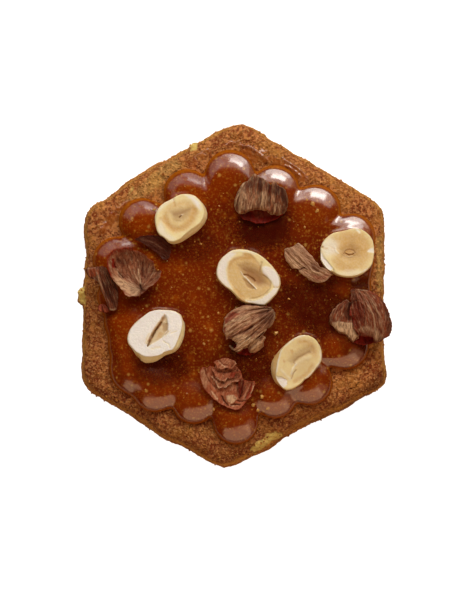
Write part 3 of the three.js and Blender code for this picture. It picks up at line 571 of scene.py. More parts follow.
            "marks": """
orange line 1.8 0.9 0 218.8,396 220.6,402 226,406.6 233,408.8
dark line 1.1 1 0.4 221.6,395.8 224,400.6 228,405.4
pale line 1.5 0.8 -0.1 211.6,391.6 217,399
pale area 1.6 0.85 -0.1 226,396 234,394.6 237,399 232,404 227.6,402
orange line 1.4 0.8 0 236,402 243,402.4 247,400.4
dark line 0.9 0.9 0.2 237,400.6 242,401.6 246.6,400.4
dark line 1.2 0.9 0.3 231,405.6 236,404.4 240,404.8
pale line 1.1 0.9 0 230,405 233.6,406.2
red line 1.6 0.8 0 252,384 250.4,391 246.4,398
dark line 1 0.7 0.2 251.6,383 248.8,391 245,398
pale line 0.8 0.9 0 253.4,386 251.4,393.4
dark area 2.2 0.5 0.1 236,380 243,381 245,390 240,399 236,394
dark line 1.3 0.6 0.1 205,369 207.6,378 212,384 216.6,388.6
pale area 1.6 0.4 0 200.6,371 205,371 208,382 206,389 202,383
""",
        },
        {
            "outline": """
208.5,367.2 207.8,369.6 210.2,375.7 213.7,379.6 217.6,386.5 218.8,388.6 226.3,387.6 228.2,385.4 232.8,382.2
238.8,381.8 242.5,377.9 240.6,371.3 236.7,366.6 231.9,360.6 224.5,358.8 215.4,361.6 215.4,367 211,367.4
""",
            "middle": (225, 375), "poles": ((246, 346), (212, 402)), "height": 12.55, "along": -0.01,
            "across": -0.03, "lean": (0.0, 0.03), "lip": 0.25, "streaks": 8, "pale": 0.2, "red": 0.1,
            "orange": 0.5, "stripes": 0.15,
            "marks": """
pale line 0.8 1 -0.15 207.8,369 210.4,375.8 213.8,379.8 217.8,386.6 219,388.6 226.3,387.6 228.2,385.4 \
232.6,382.4
dark line 1.2 0.5 0.1 209.4,369 214,376.6 218.6,381.4 224,383
dark area 2 0.45 0.1 233,380 240,381 241,372 236,370
""",
        },
        {
            "outline": """
209.8,366.3 212,371 216.3,377.6 219.6,380.8 225.2,381.6 227.2,379 233.2,378.4 236.6,372 236.7,365.6
231.9,360.5 224.5,358.6 215.4,361.5 215.4,367 211,367.4
""",
            "middle": (225, 370), "poles": ((246, 346), (214, 396)), "height": 13.1, "along": -0.01,
            "across": -0.02, "lean": (0.0, 0.03), "lip": 0.2, "streaks": 7, "pale": 0.15, "red": 0.15,
            "orange": 0.5, "stripes": 0.15,
            "marks": """
pale line 0.8 0.9 -0.15 216.6,378 219.8,381 225.2,381.4 227.2,378.8
dark line 2 0.55 0.1 214,369 219,371.6 226,372.4 232,371
red area 1.2 0.6 0 231,372 236,373 235,378 230,377
""",
        },
        {
            "outline": """
213.6,362.3 215.6,365 217,369 222,369.6 227,367.8 231,369.4 234.4,369 236.6,363.6 234.5,361.2 231.9,359.8
228.4,358.8 224.5,358.1 221.5,358.9 218.5,360.2 215.4,361.2
""",
            "middle": (225.4, 364), "poles": ((240, 348), (214, 384)), "height": 13.7, "along": -0.01,
            "across": -0.03, "lean": (0.0, 0.03), "lip": 0.15, "streaks": 6, "pale": 0.2, "red": 0.15,
            "orange": 0.5, "stripes": 0.15,
            "marks": """
dark line 1.2 0.6 0.12 219.6,360.6 223,364.6 228,366
orange line 1.2 0.7 0 227,366.6 231,367 233,364.4
pale line 0.9 0.7 -0.1 217.8,360.8 221.4,364.6 225.6,368
pale line 0.9 1 0 235.2,362.2 236.4,364.6
dark area 1.2 0.5 0 231,361 235,363 234,368 230,368
""",
        },
        {
            "outline": "238.2,380.6 240.6,380.2 243.8,379.8 244.4,383 243,390 241.4,396 239.6,399 239,391",
            "middle": (241.4, 388), "poles": ((242, 372), (239, 406)), "height": 12.7, "along": 0.0,
            "across": -0.08, "lean": (0.0, 0.03), "lip": 0.15, "streaks": 3, "red": 0.7, "dark": 0.2,
            "orange": 0.2,
            "marks": """
dark line 0.8 0.8 0.1 243.6,381 242.4,389 240.4,397
""",
        },
    ],
}

# Patches of the crust: bare yellow dough, a darker groove, painted shade over the lower right, and thin smears of
# caramel.
CRUST_MARKS = """
dough area 1.3 0.9 0 251,447 256,441 262,438 268,432 275,430 283,433 281,437 272,439 266,444 260,449 254,453
dough area 1.4 1 0 76,286 85,286 86,304 77,303
dough area 1.4 0.9 0 190,142 197,142 197,150 191,150
dough line 1.8 0.55 0 129,194 133,188
dough line 1.6 0.4 0 160,168 169,164
dough line 1.4 0.6 0 377,256 379.5,265
brown line 1 0.8 0.5 350,388 354,386 358,382.5
glaze area 3 0.8 0 238,152 250,147 268,152 284,162 302,170 309,181 296,182 280,175 262,166 246,160
glaze area 2.6 0.7 0 99,232 106,219 118,207 130,199 134,205 122,215 112,227 104,237
glaze area 2 0.6 0 188,166 196,156 207,149 213,152 203,160 195,168
glaze line 2 1 -0.4 239,145 250,147.6 254,150.4 261,156 268,161
glaze line 2 1 -0.4 282,158 289,163 297,168.6 303,173 305.4,178
glaze line 1.8 1 -0.35 285,165 295,172 301,178
glaze line 1.8 0.8 -0.35 225,146 231,142 238,143
dough area 4 0.3 0 375,238 382,236 382,292 376,290
dough area 5 0.22 0 128,198 150,176 176,158 182,166 160,186 136,204
brown area 10 0.75 0 312,418 352,396 378,372 392,352 396,384 352,420 312,440
"""

# Painted shadows on the caramel, under and beside the toppings, and painted light where the light reaches into it.
CARAMEL_MARKS = """
shade area 20 1 0 238,216 288,212 290,236 274,250 250,250 236,236
shade area 18 .85 0 284,282 330,284 353,300 350,330 318,338 290,320 278,300
shade area 14 .5 0 172,246 206,228 222,244 206,264 180,262
shade area 12 .6 0 108,296 150,292 152,306 124,316 106,312
shade area 14 .75 0 132,358 184,354 190,372 160,388 134,378
shade area 14 .65 0 228,350 268,346 276,372 256,396 240,380 226,366
shade area 10 .6 0 336,338 378,340 376,354 344,358
shade area 10 .6 0 352,282 374,278 376,300 356,302
shade area 12 .35 0 224,206 236,214 238,236 226,240 216,222
shade line 9 .35 0 104,312 110,340 118,372 132,388
light area 16 .7 0 292,186 330,190 346,214 330,232 300,226
light area 24 .4 0 160,264 216,260 222,296 192,306 162,296
light area 24 .45 0 192,308 236,312 240,346 208,352 190,334
light area 14 .6 0 126,206 150,200 158,226 136,242 118,228
light area 16 .5 0 166,182 206,170 226,190 214,206 200,196
light area 14 .45 0 186,394 214,398 226,414 196,420
"""

# Golden crumbs of nut set in the caramel at known places: place on the grid and size in millimetres.
GOLDEN_CRUMBS = [
    (313, 204, 1.1), (317, 211, 0.9), (305, 227, 0.7), (307, 200, 1.0), (276, 333, 1.1), (204, 344, 0.7),
    (201, 244, 0.6), (257.5, 410, 1.2), (253, 405, 0.9), (262, 397, 0.9), (214, 409, 0.8), (267, 409, 0.7),
    (158, 270, 0.5), (289, 299, 0.6), (218, 313, 0.6), (232, 243, 0.6), (154, 209.5, 0.8),
]


# ---------------------------------------------------------------------------------------------------------------
# Sums
# ---------------------------------------------------------------------------------------------------------------

def path(text):
    """The places written in a text, as pairs of numbers."""
    return [tuple(map(float, place.split(","))) for place in text.split()]


def marks_in(text):
    """The marks written in a text, one to a line: kind, shape, places, width, amount, depth."""
    for line in text.strip().splitlines():
        kind, shape, width, amount, depth, places = line.split(" ", 5)
        yield kind, shape, path(places), float(width), float(amount), float(depth)


def tint(red, green, blue):
    """A colour as it looks on screen, 0 to 255, as the linear colour that a shader takes."""
    return tuple(c / 12.92 if c <= 0.04045 else ((c + 0.055) / 1.055) ** 2.4
                 for c in (red / 255, green / 255, blue / 255))


def on_grid(points):
    """Points in millimetres as places on the plan grid."""
    return np.stack([points[:, 0], -points[:, 1]], axis=1) / GRID_STEP + GRID_MIDDLE


def off_grid(places):
    """Places on the plan grid as x and y in millimetres."""
    steps = (np.asarray(places, float) - GRID_MIDDLE) * GRID_STEP
    return steps * [1, -1]


def smoothstep(value, low, high):
    share = np.clip((value - low) / (high - low), 0, 1)
    return share * share * (3 - 2 * share)


def noise(points, size, seed):
    """Smooth noise from -1 to 1 at points in 2 or 3 dimensions, with lumps of that size."""
    scaled = np.asarray(points, float) / size + 17.3 * seed + 0.37
    if scaled.shape[1] == 2:
        scaled = np.column_stack([scaled, np.full(len(scaled), 0.5 + seed)])
    cell = np.floor(scaled)
    part = scaled - cell
    part = part * part * part * (part * (6 * part - 15) + 10)
    total = np.zeros(len(scaled))
    for corner in itertools.product((0, 1), repeat=3):
        wave = np.sin((cell + corner) @ np.array([127.1, 311.7, 74.7])) * 43758.5453
        weight = np.prod(np.where(corner, part, 1 - part), axis=1)
        total += weight * (2 * (wave - np.floor(wave)) - 1)
    return total


def closed_curve(corners, count):
    """Evenly spaced points along the closed line through the corners, and the line's length."""
    corners = np.asarray(corners, float)
    ends = np.vstack([corners, corners[:1]])
    lengths = np.concatenate([[0], np.cumsum(np.hypot(*np.diff(ends, axis=0).T))])
    at = np.arange(count) / count * lengths[-1]
    return np.column_stack([np.interp(at, lengths, ends[:, k]) for k in (0, 1)]), lengths[-1]


def rounded(curve, passes):
    """A closed line of points with its corners worn off."""
    for _ in range(passes):
        curve = (np.roll(curve, 1, axis=0) + 2 * curve + np.roll(curve, -1, axis=0)) / 4
    return curve


def reach(outline, middle, angles):
    """How far the outline is from the middle at angles in radians."""
    curve = rounded(closed_curve(outline, 720)[0], 12) - middle
    around = np.arctan2(curve[:, 1], curve[:, 0])
    order = np.argsort(around)
    return np.interp(angles, around[order], np.hypot(*curve[order].T), period=2 * math.pi)


def covered(places, shape, points, width, ragged, seed):
    """How much of each place on the grid a line or an area covers, 0 to 1, with a soft and ragged edge."""
    corners = np.asarray(points, float)
    if shape == "area":
        corners = np.vstack([corners, corners[:1]])
    places = places + ragged * np.column_stack([noise(places, 2.2, seed), noise(places, 2.2, seed + 5)])
    nearest = np.full(len(places), np.inf)
    inside = np.zeros(len(places), bool)
    for start, end in zip(corners[:-1], corners[1:]):
        along = end - start
        share = np.clip(((places - start) @ along) / max(along @ along, 1e-9), 0, 1)
        nearest = np.minimum(nearest, np.hypot(*(places - start - share[:, None] * along).T))
        crosses = (start[1] > places[:, 1]) != (end[1] > places[:, 1])
        rise = along[1] if abs(along[1]) > 1e-9 else 1e-9
        inside ^= crosses & (places[:, 0] < start[0] + (places[:, 1] - start[1]) * along[0] / rise)
    if shape == "area":
        return smoothstep(np.where(inside, nearest, -nearest), -width / 2, width / 2)
    return 1 - smoothstep(nearest, 0, width)


# ---------------------------------------------------------------------------------------------------------------
# Modelling
# ---------------------------------------------------------------------------------------------------------------

def deselect_all():
    if bpy.context.mode != "OBJECT":
        bpy.ops.object.mode_set(mode="OBJECT")
    bpy.ops.object.select_all(action="DESELECT")


def pick(piece):
    deselect_all()
    piece.select_set(True)
    bpy.context.view_layer.objects.active = piece


def rows_of(items, attribute, width, kind=float):
    """An attribute of all the vertices, edges or corners of a mesh, a row for each."""
    flat = np.zeros(width * len(items), kind)
    items.foreach_get(attribute, flat)
    return flat.reshape(-1, width)


def points_of(piece):
    """The piece's vertices, in millimetres."""
    return rows_of(piece.data.vertices, "co", 3) / MM


def normals_of(piece):
    return rows_of(piece.data.vertices, "normal", 3)


def corners_of(piece):
    """The number of the vertex at each face corner."""
    return rows_of(piece.data.loops, "vertex_index", 1, int)[:, 0]


def move_points(piece, points):
    piece.data.vertices.foreach_set("co", (np.asarray(points) * MM).ravel())
    piece.data.update()


def edit(piece, operator, everything=True, **settings):
    """Runs an edit mode operator on all of a piece, or on what is selected in it."""
    pick(piece)
    bpy.ops.object.mode_set(mode="EDIT")
    if everything:
        bpy.ops.mesh.select_all(action="SELECT")
    operator(**settings)
    bpy.ops.object.mode_set(mode="OBJECT")


def choose(piece, mode, chosen):
    """Selects only the chosen edges of a piece, in mode EDGE, or its chosen faces, in mode FACE."""
    edit(piece, bpy.ops.mesh.select_mode, False, type=mode)
    edit(piece, bpy.ops.mesh.select_all, False, action="DESELECT")
    items = piece.data.edges if mode == "EDGE" else piece.data.polygons
    items.foreach_set("select", chosen)


def modify(piece, kind, **settings):
    """Adds a modifier and applies it."""
    pick(piece)
    modifier = piece.modifiers.new(kind.title(), kind)
    for name, value in settings.items():
        setattr(modifier, name, value)
    bpy.ops.object.modifier_apply(modifier=modifier.name)


def keep_marks(piece, *masks):
    """Keeps up to four masks on the piece's vertices, for its material."""
    marks = np.zeros((len(piece.data.vertices), 4))
    for channel, mask in enumerate(masks):
        marks[:, channel] = np.clip(mask, 0, 1)
    layer = piece.data.color_attributes.new("marks", "FLOAT_COLOR", "POINT")
    layer.data.foreach_set("color", marks.ravel())


def keep_uv(piece, across, along):
    """Keeps how far each vertex is across and along the streaks, as the piece's UV map."""
    layer = piece.data.uv_layers.active or piece.data.uv_layers.new(name="UVMap")
    layer.uv.foreach_set("vector", np.column_stack([across, along])[corners_of(piece)].ravel())


def round_body(name, segments, rings):
    """A closed body of rings from its top point to its bottom point, ready to be reshaped. Also returns the number
    of each vertex's ring, 0 at the top and rings at the bottom, and its angle in radians."""
    deselect_all()
    bpy.ops.mesh.primitive_cylinder_add(vertices=segments, radius=1, depth=2, end_fill_type="TRIFAN")
    piece = bpy.context.object
    piece.name = piece.data.name = name
    height = points_of(piece)[:, 2] * MM
    upright = np.ptp(height[rows_of(piece.data.edges, "vertices", 2, int)], axis=1) > 1
    choose(piece, "EDGE", upright)
    edit(piece, bpy.ops.mesh.subdivide_edgering, False, number_cuts=rings - 3, interpolation="LINEAR")
    bpy.ops.object.shade_smooth()
    body = points_of(piece) * MM
    far = np.hypot(body[:, 0], body[:, 1])
    ring = np.round((1 - body[:, 2]) / 2 * (rings - 2)).astype(int) + 1
    ring = np.where(far > 0.5, ring, np.where(body[:, 2] > 0, 0, rings))
    step = 2 * math.pi / segments
    return piece, ring, np.round(np.arctan2(body[:, 1], body[:, 0]) / step) * step


def turn_out(piece):
    """Makes the faces of a closed piece point outwards."""
    edit(piece, bpy.ops.mesh.normals_make_consistent, inside=False)


def copy_of(solid, name):
    """A copy of a CAD node's mesh as a new piece, with its loose triangles joined up."""
    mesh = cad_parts[solid].data.copy()
    mesh.materials.clear()
    piece = bpy.data.objects.new(name, mesh)
    bpy.context.scene.collection.objects.link(piece)
    edit(piece, bpy.ops.mesh.remove_doubles, threshold=1e-6)
    return piece


def scattered(name, template, places, sizes, turns, stretch):
    """One mesh of many copies of a template, at places in millimetres."""
    shape = points_of(template)
    faces = np.array([list(face.vertices) for face in template.data.polygons])
    bpy.data.objects.remove(template)
    points, corners = [], []
    for n, (place, size, turn, factors) in enumerate(zip(places, sizes, turns, stretch)):
        matrix = np.array(Euler(turn).to_matrix())
        points.append((shape * size * factors) @ matrix.T + place)
        corners.append(faces + n * len(shape))
    mesh = bpy.data.meshes.new(name)
    mesh.from_pydata((np.vstack(points) * MM).tolist(), [], np.vstack(corners).tolist())
    piece = bpy.data.objects.new(name, mesh)
    bpy.context.scene.collection.objects.link(piece)
    return piece


def crumb_template(subdivisions, roughness, seed):
    """A rough little lump of radius 1 mm."""
    deselect_all()
    bpy.ops.mesh.primitive_ico_sphere_add(subdivisions=subdivisions, radius=MM)
    lump = bpy.context.object
    edit(lump, bpy.ops.transform.vertex_random, offset=roughness * MM, uniform=0.1, normal=0.3, seed=seed)
    return lump


def finish_piece(piece, material, solid=None):
    """Gives a piece its material and its place in the part, where it may replace a solid."""
    pick(piece)
    bpy.ops.object.shade_smooth()
    piece.data.materials.clear()
    piece.data.materials.append(material)
    if solid:
        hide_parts(solid)
    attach(piece, "root")


# ---------------------------------------------------------------------------------------------------------------
# Shader nodes
# ---------------------------------------------------------------------------------------------------------------

def fill(tree, made, inputs):
    """Sets a node's sockets, by name or number, each to a value or to the socket that feeds it."""
    for name, value in inputs.items():
        if isinstance(value, bpy.types.NodeSocket):
            tree.links.new(value, made.inputs[name])
        else:
            made.inputs[name].default_value = value


def node(tree, kind, inputs=None, **settings):
    """Adds a shader node and fills its sockets."""
    made = tree.nodes.new(kind)
    for name, value in settings.items():
        setattr(made, name, value)
    fill(tree, made, inputs or {})
    return made


def blend(tree, factor, first, second):
    """Two colours mixed; a colour is (r, g, b) or a socket."""
    first, second = (c if isinstance(c, bpy.types.NodeSocket) else (*c[:3], 1) for c in (first, second))
    return node(tree, "ShaderNodeMix", {0: factor, 6: first, 7: second}, data_type="RGBA").outputs[2]


def sum_of(tree, operation, *values):
    """Numbers or sockets put together by a sum, such as ADD or MULTIPLY."""
    return node(tree, "ShaderNodeMath", dict(enumerate(values)), operation=operation).outputs[0]


def layered(tree, base, *layers):
    """A colour with others laid over it, each given as a mask, how much of the mask counts, and the colour."""
    for mask, share, colour in layers:
        base = blend(tree, mask if share == 1 else sum_of(tree, "MULTIPLY", mask, share), base, colour)
    return base


def ranged(tree, value, low, high, to_low=0.0, to_high=1.0):
    """A value that passes smoothly from to_low to to_high while another passes from low to high."""
    return node(tree, "ShaderNodeMapRange", {0: value, 1: low, 2: high, 3: to_low, 4: to_high},
                interpolation_type="SMOOTHSTEP").outputs[0]


def mottle(tree, given):
    """Soft blotches: where the noise of a size, in millimetres, passes from Low to High."""
    scale = sum_of(tree, "DIVIDE", 1000.0, given["Size"])
    inputs = {"Vector": given["Vector"], "Scale": scale, "Detail": given["Detail"]}
    pattern = node(tree, "ShaderNodeTexNoise", inputs)
    return ranged(tree, pattern.outputs[0], given["Low"], given["High"])


def speckle(tree, given):
    """Small specks: a share of the cells of a size, in millimetres, holds a speck."""
    scale = sum_of(tree, "DIVIDE", 1000.0, given["Size"])
    finer = sum_of(tree, "MULTIPLY", scale, 1.7)
    warp = node(tree, "ShaderNodeTexNoise", {"Vector": given["Vector"], "Scale": finer})
    moved = node(tree, "ShaderNodeVectorMath", {0: warp.outputs[1], 1: (MM / 3,) * 3}, operation="MULTIPLY")
    moved = node(tree, "ShaderNodeVectorMath", {0: given["Vector"], 1: moved.outputs[0]}, operation="ADD")
    cells = node(tree, "ShaderNodeTexVoronoi", {"Vector": moved.outputs[0], "Scale": scale})
    draws = node(tree, "ShaderNodeSeparateColor", {0: cells.outputs["Color"]}).outputs
    chosen = sum_of(tree, "LESS_THAN", draws[0], given["Share"])
    width = sum_of(tree, "MULTIPLY", given["Width"], sum_of(tree, "ADD", draws[1], 0.4))
    return sum_of(tree, "MULTIPLY", chosen, ranged(tree, cells.outputs["Distance"], width, 0.0))


def streaks(tree, given):
    """Streaks along the UV map's second axis: Count of them across one unit of the first."""
    parts = node(tree, "ShaderNodeSeparateXYZ", {0: given["Vector"]}).outputs
    across = sum_of(tree, "MULTIPLY", parts[0], given["Count"])
    along = sum_of(tree, "MULTIPLY", parts[1], given["Wander"])
    place = node(tree, "ShaderNodeCombineXYZ", {0: across, 1: along}).outputs[0]
    inputs = {"Vector": place, "Scale": 1.0, "Detail": 4.0, "Roughness": 0.62}
    pattern = node(tree, "ShaderNodeTexNoise", inputs)
    return ranged(tree, pattern.outputs[0], given["Low"], given["High"])


# The effects that the materials share: what draws each one's mask, and its inputs beside the place.
EFFECTS = {
    "Mottle": (mottle, {"Size": 1.0, "Detail": 3.0, "Low": 0.4, "High": 0.6}),
    "Speckle": (speckle, {"Size": 1.0, "Share": 0.3, "Width": 0.3}),
    "Streaks": (streaks, {"Count": 10.0, "Wander": 1.0, "Low": 0.35, "High": 0.65}),
}


def effect_group(name):
    """An effect's node group, made the first time that a material asks for it."""
    if name not in bpy.data.node_groups:
        draw, inputs = EFFECTS[name]
        tree = bpy.data.node_groups.new(name, "ShaderNodeTree")
        tree.interface.new_socket("Vector", in_out="INPUT", socket_type="NodeSocketVector")
        for label, default in inputs.items():
            socket = tree.interface.new_socket(label, in_out="INPUT", socket_type="NodeSocketFloat")
            socket.default_value = default
        tree.interface.new_socket("Mask", in_out="OUTPUT", socket_type="NodeSocketFloat")
        mask = draw(tree, tree.nodes.new("NodeGroupInput").outputs)
        tree.links.new(mask, tree.nodes.new("NodeGroupOutput").inputs["Mask"])
    return bpy.data.node_groups[name]


def new_material(name):
    """A material with its tree, its main shader, object coordinates and the masks kept on the vertices."""
    made = bpy.data.materials.new(name)
    made.use_nodes = True
    tree = made.node_tree
    shader = tree.nodes["Principled BSDF"]
    place = node(tree, "ShaderNodeTexCoord").outputs["Object"]
    kept = node(tree, "ShaderNodeAttribute", attribute_name="marks")
    marks = [*node(tree, "ShaderNodeSeparateColor", {0: kept.outputs["Color"]}).outputs, kept.outputs["Alpha"]]
    return made, tree, shader, place, marks


def use(tree, effect, place, **inputs):
    """The mask of an effect, placed in a tree."""
    return node(tree, "ShaderNodeGroup", {"Vector": place, **inputs}, node_tree=effect_group(effect)).outputs[0]


def set_bump(tree, shader, height, depth):
    """Feeds a height, as a share of the depth in millimetres, to the shader's normal."""
    bump = node(tree, "ShaderNodeBump", {"Strength": 1.0, "Distance": depth * MM, "Height": height})
    tree.links.new(bump.outputs[0], shader.inputs["Normal"])


# ---------------------------------------------------------------------------------------------------------------
# Settings
# ---------------------------------------------------------------------------------------------------------------

def colour_setting(name, description, default):
    return bpy.props.FloatVectorProperty(name=name, description=description, default=default, subtype="COLOR",
                                         size=3, min=0, max=1)


def length_setting(name, description, default, least, most):
    return bpy.props.FloatProperty(name=name, description=description, default=default, unit="LENGTH",
                                   min=least, max=most, precision=5)


def count_setting(name, description, default, most):
    return bpy.props.IntProperty(name=name, description=description, default=default, min=0, max=most)


def number_setting(name, description, default, least, most):
    return bpy.props.FloatProperty(name=name, description=description, default=default, min=least, max=most)


class CrustSettings(bpy.types.PropertyGroup):
    brown: colour_setting("Crust brown", "Most of the baked crust", tint(204, 132, 76))
    shade: colour_setting("Crust shade", "The crust between its lighter patches", tint(140, 68, 31))
    # Crust dark also paints the shade on the front left, at the lower right and in the hollows of the relief.
    dark: colour_setting("Crust dark", "The pits between the crust's grains, and its darker places",
                         tint(84, 30, 10))
    golden: colour_setting("Crust golden", "The shoulder round the top, and the grains that stand out",
                           tint(212, 150, 66))
    pale: colour_setting("Crust pale", "Single pale grains", tint(234, 176, 112))
    dough: colour_setting("Dough yellow", "Where the crust has broken off the dough", tint(240, 212, 122))
    glaze: colour_setting("Smeared caramel", "Thin smears of caramel on the crust", tint(146, 68, 8))
    grain: length_setting("Grain", "Height of the crust's grains", 0.00028, 0, 0.001)
    crumbs: count_setting("Crumbs", "How many loose crumbs lie on the crust", 420, 2000)


class CaramelSettings(bpy.types.PropertyGroup):
    deep: colour_setting("Deep caramel", "Where the caramel is thick", tint(108, 30, 0))
    dome: colour_setting("Caramel dots", "The piped dots, which the light reaches into", tint(142, 53, 2))
    thin: colour_setting("Thin caramel", "The rim, where the caramel is thin", tint(166, 90, 14))
    glow: colour_setting("Glowing caramel", "Soft orange places where a grain lies deep", tint(162, 74, 2))
    fleck: colour_setting("Nut flecks", "Fine flecks of nut in the caramel", tint(204, 142, 52))
    grain: colour_setting("Nut grains", "Coarser grains of nut in the caramel", tint(210, 162, 78))
    shade: colour_setting("Shaded caramel", "Where the toppings keep the light out", tint(60, 5, 0))
    dot_height: length_setting("Dot height", "Height of the piped dots above their foot", 0.0031, 0.002, 0.005)
    pool_height: length_setting("Pool height", "Depth of the pool between the dots", 0.0024, 0.001, 0.004)
    grains: count_setting("Grains", "How many grains of nut lie in the caramel", 110, 500)


class KernelSettings(bpy.types.PropertyGroup):
    cream: colour_setting("Kernel cream", "Most of the cut face", tint(249, 236, 180))
    toast: colour_setting("Toasted", "The toasted ring and the kernel's back", tint(214, 168, 92))
    # The hollow brown is partly painted shade, and the crack colour is painted shade in the deepest cracks.
    brown: colour_setting("Hollow brown", "The hollow in the cut face", tint(150, 94, 52))
    white: colour_setting("Kernel white", "Freshly broken places", tint(255, 254, 250))
    dark: colour_setting("Crack", "The deepest crack of a hollow", tint(70, 22, 4))


class SkinSettings(bpy.types.PropertyGroup):
    brown: colour_setting("Skin brown", "Most of a torn skin", tint(156, 84, 51))
    # Skin dark and pale also paint the shade in the grooves and the light on the crests of the ridges, and skin
    # dark the painted shadows on some sheets.
    dark: colour_setting("Skin dark", "The skin's dark streaks", tint(60, 20, 10))
    pale: colour_setting("Skin pale", "The skin's pale streaks and papery places", tint(226, 190, 150))
    red: colour_setting("Skin red", "The skin's inside and its torn edges", tint(142, 30, 16))
    orange: colour_setting("Skin orange", "Thin curls that the light shines through", tint(190, 88, 50))
    thickness: length_setting("Thickness", "Thickness of a torn skin", 0.0002, 0.0001, 0.001)
    ridges: length_setting("Ridges", "Height of the ridges along a skin", 0.0005, 0, 0.001)


class StageSettings(bpy.types.PropertyGroup):
    elevation: bpy.props.FloatProperty(
        name="Camera elevation", description="How high the camera looks down from", default=math.radians(88),
        subtype="ANGLE", min=0, max=math.pi / 2)
    lens: number_setting("Lens", "Focal length, in millimetres", 280, 20, 600)
    key: number_setting("Key light", "Brightness of the softbox behind the biscuit", 7.2, 0, 100)
    card: number_setting("Front cards", "Brightness of the warm cards in front", 1.05, 0, 100)


# ---------------------------------------------------------------------------------------------------------------
# Crust
# ---------------------------------------------------------------------------------------------------------------

def caramel_edge():
    """Angles in radians, and how far the caramel reaches there: the far side of the dots that lie that way, with
    the notches between them filled in and softened."""
    angles = np.radians(np.arange(1440) / 4 - 180)
    east, north = np.cos(angles), np.sin(angles)
    total = np.zeros_like(angles)
    for x, y, radius in DOTS:
        along = x * east + y * north
        inside = radius**2 - (x * north - y * east) ** 2
        met = (along > 0) & (inside > 0)
        total += np.where(met, np.abs(along + np.sqrt(np.maximum(inside, 0))), 0) ** 32
    found = total > 0
    edge = np.interp(angles, angles[found], total[found] ** (1 / 32), period=2 * math.pi)
    return angles, rounded(edge[:, None], 24)[:, 0]


CARAMEL_EDGE = caramel_edge()


def caramel_reach(angle):
    return np.interp(angle, *CARAMEL_EDGE, period=2 * math.pi)


def caramel_depth(x, y, dot_height, pool_height):
    """How deep the caramel is: a lip at its edge, a slope up to the level pool, and low domes on both."""
    inwards = np.maximum(caramel_reach(np.arctan2(y, x)) - np.hypot(x, y), 0)
    lip = np.sqrt(1 - (1 - np.clip(inwards / 1.1, 0, 1)) ** 2)
    slope = 1 - (1 - np.clip(inwards / 6, 0, 1)) ** 2
    depth = lip * (1.25 + (pool_height - 1.25) * slope)
    for dot_x, dot_y, radius in DOTS:
        out = np.clip(np.hypot(x - dot_x, y - dot_y) / radius, 0, 1)
        depth = depth + (dot_height - pool_height) * (1 - out**2) ** 1.5
    return depth


def beyond_caramel(points):
    """How far outside the caramel's edge points are, in millimetres; below 0 inside it."""
    return np.hypot(points[:, 0], points[:, 1]) - caramel_reach(np.arctan2(points[:, 1], points[:, 0]))


def crust_material(look):
    made, tree, shader, place, (golden, dough, glaze, dark_and_shade) = new_material("baked crust")
    fine = use(tree, "Mottle", place, Size=0.8, Detail=6.0, Low=0.42, High=0.58)
    grit = use(tree, "Mottle", place, Size=0.42, Detail=2.0, Low=0.54, High=0.66)
    coarse = use(tree, "Mottle", place, Size=3.6, Detail=3.0, Low=0.4, High=0.7)
    pits = use(tree, "Speckle", place, Size=0.6, Share=0.5, Width=0.42)
    sparks = use(tree, "Speckle", place, Size=0.7, Share=0.45, Width=0.38)
    pit_share = ranged(tree, golden, 0, 1, 0.65, 0.45)
    # The fourth mask darkens the crust: a darker groove, and painted shade on the front left, at the lower right
    # and in the hollows of the relief.
    base = layered(
        tree, look.shade, (fine, 1, look.brown), (coarse, 0.4, look.golden), (dark_and_shade, 0.8, look.dark),
        (golden, 1, look.golden), (sparks, 0.5, look.pale), (grit, 0.45, look.pale), (pits, pit_share, look.dark),
        (dough, 1, look.dough), (glaze, 0.8, look.glaze),
    )
    fill(tree, shader, {
        "Base Color": base, "Roughness": ranged(tree, glaze, 0.0, 1.0, 0.62, 0.2), "Specular IOR Level": 0.1,
        "Coat Weight": glaze, "Coat Roughness": 0.08, "Coat IOR": 1.7,
    })
    height = sum_of(tree, "ADD", fine, sum_of(tree, "MULTIPLY", pits, -1.0))
    height = sum_of(tree, "MULTIPLY", height, ranged(tree, glaze, 0.0, 0.7, 1.0, 0.1))
    set_bump(tree, shader, height, 0.2)
    return made


def rough_crust(look):
    """The biscuit's solid, remade in small squares and roughened where it is bare. Also returns its points and how
    far they faced up while it was smooth, and how bare each is."""
    piece = copy_of("biscuit", "crust")
    piece.data.remesh_voxel_size = CRUST_MESH_SIZE
    bpy.ops.object.voxel_remesh()
    modify(piece, "SMOOTH", factor=0.5, iterations=4)
    points = points_of(piece)
    bare = (beyond_caramel(points) > -0.8) & (points[:, 2] > 0.25)
    choose(piece, "FACE", bare[corners_of(piece)].reshape(-1, 4).all(axis=1))
    edit(piece, bpy.ops.mesh.subdivide, False, number_cuts=1, smoothness=0)
    before, facing = points_of(piece), normals_of(piece)[:, 2]
    group = piece.vertex_groups.new(name="bare")
    bareness = np.round(smoothstep(beyond_caramel(before), -1.0, 0.3) * smoothstep(before[:, 2], 0.1, 0.8), 1)
    for share in np.unique(bareness):
        if share > 0:
            group.add(np.flatnonzero(bareness == share).tolist(), float(share), "REPLACE")
    for name, kind, size, strength, middle in CRUST_RELIEF:
        texture = bpy.data.textures.new(name, kind)
        texture.noise_scale = size
        if kind == "CLOUDS":
            texture.noise_depth = 2
        modify(piece, "DISPLACE", texture=texture, texture_coords="LOCAL", strength=strength * look.grain,
               mid_level=middle, vertex_group="bare")
    return piece, before, facing, bareness


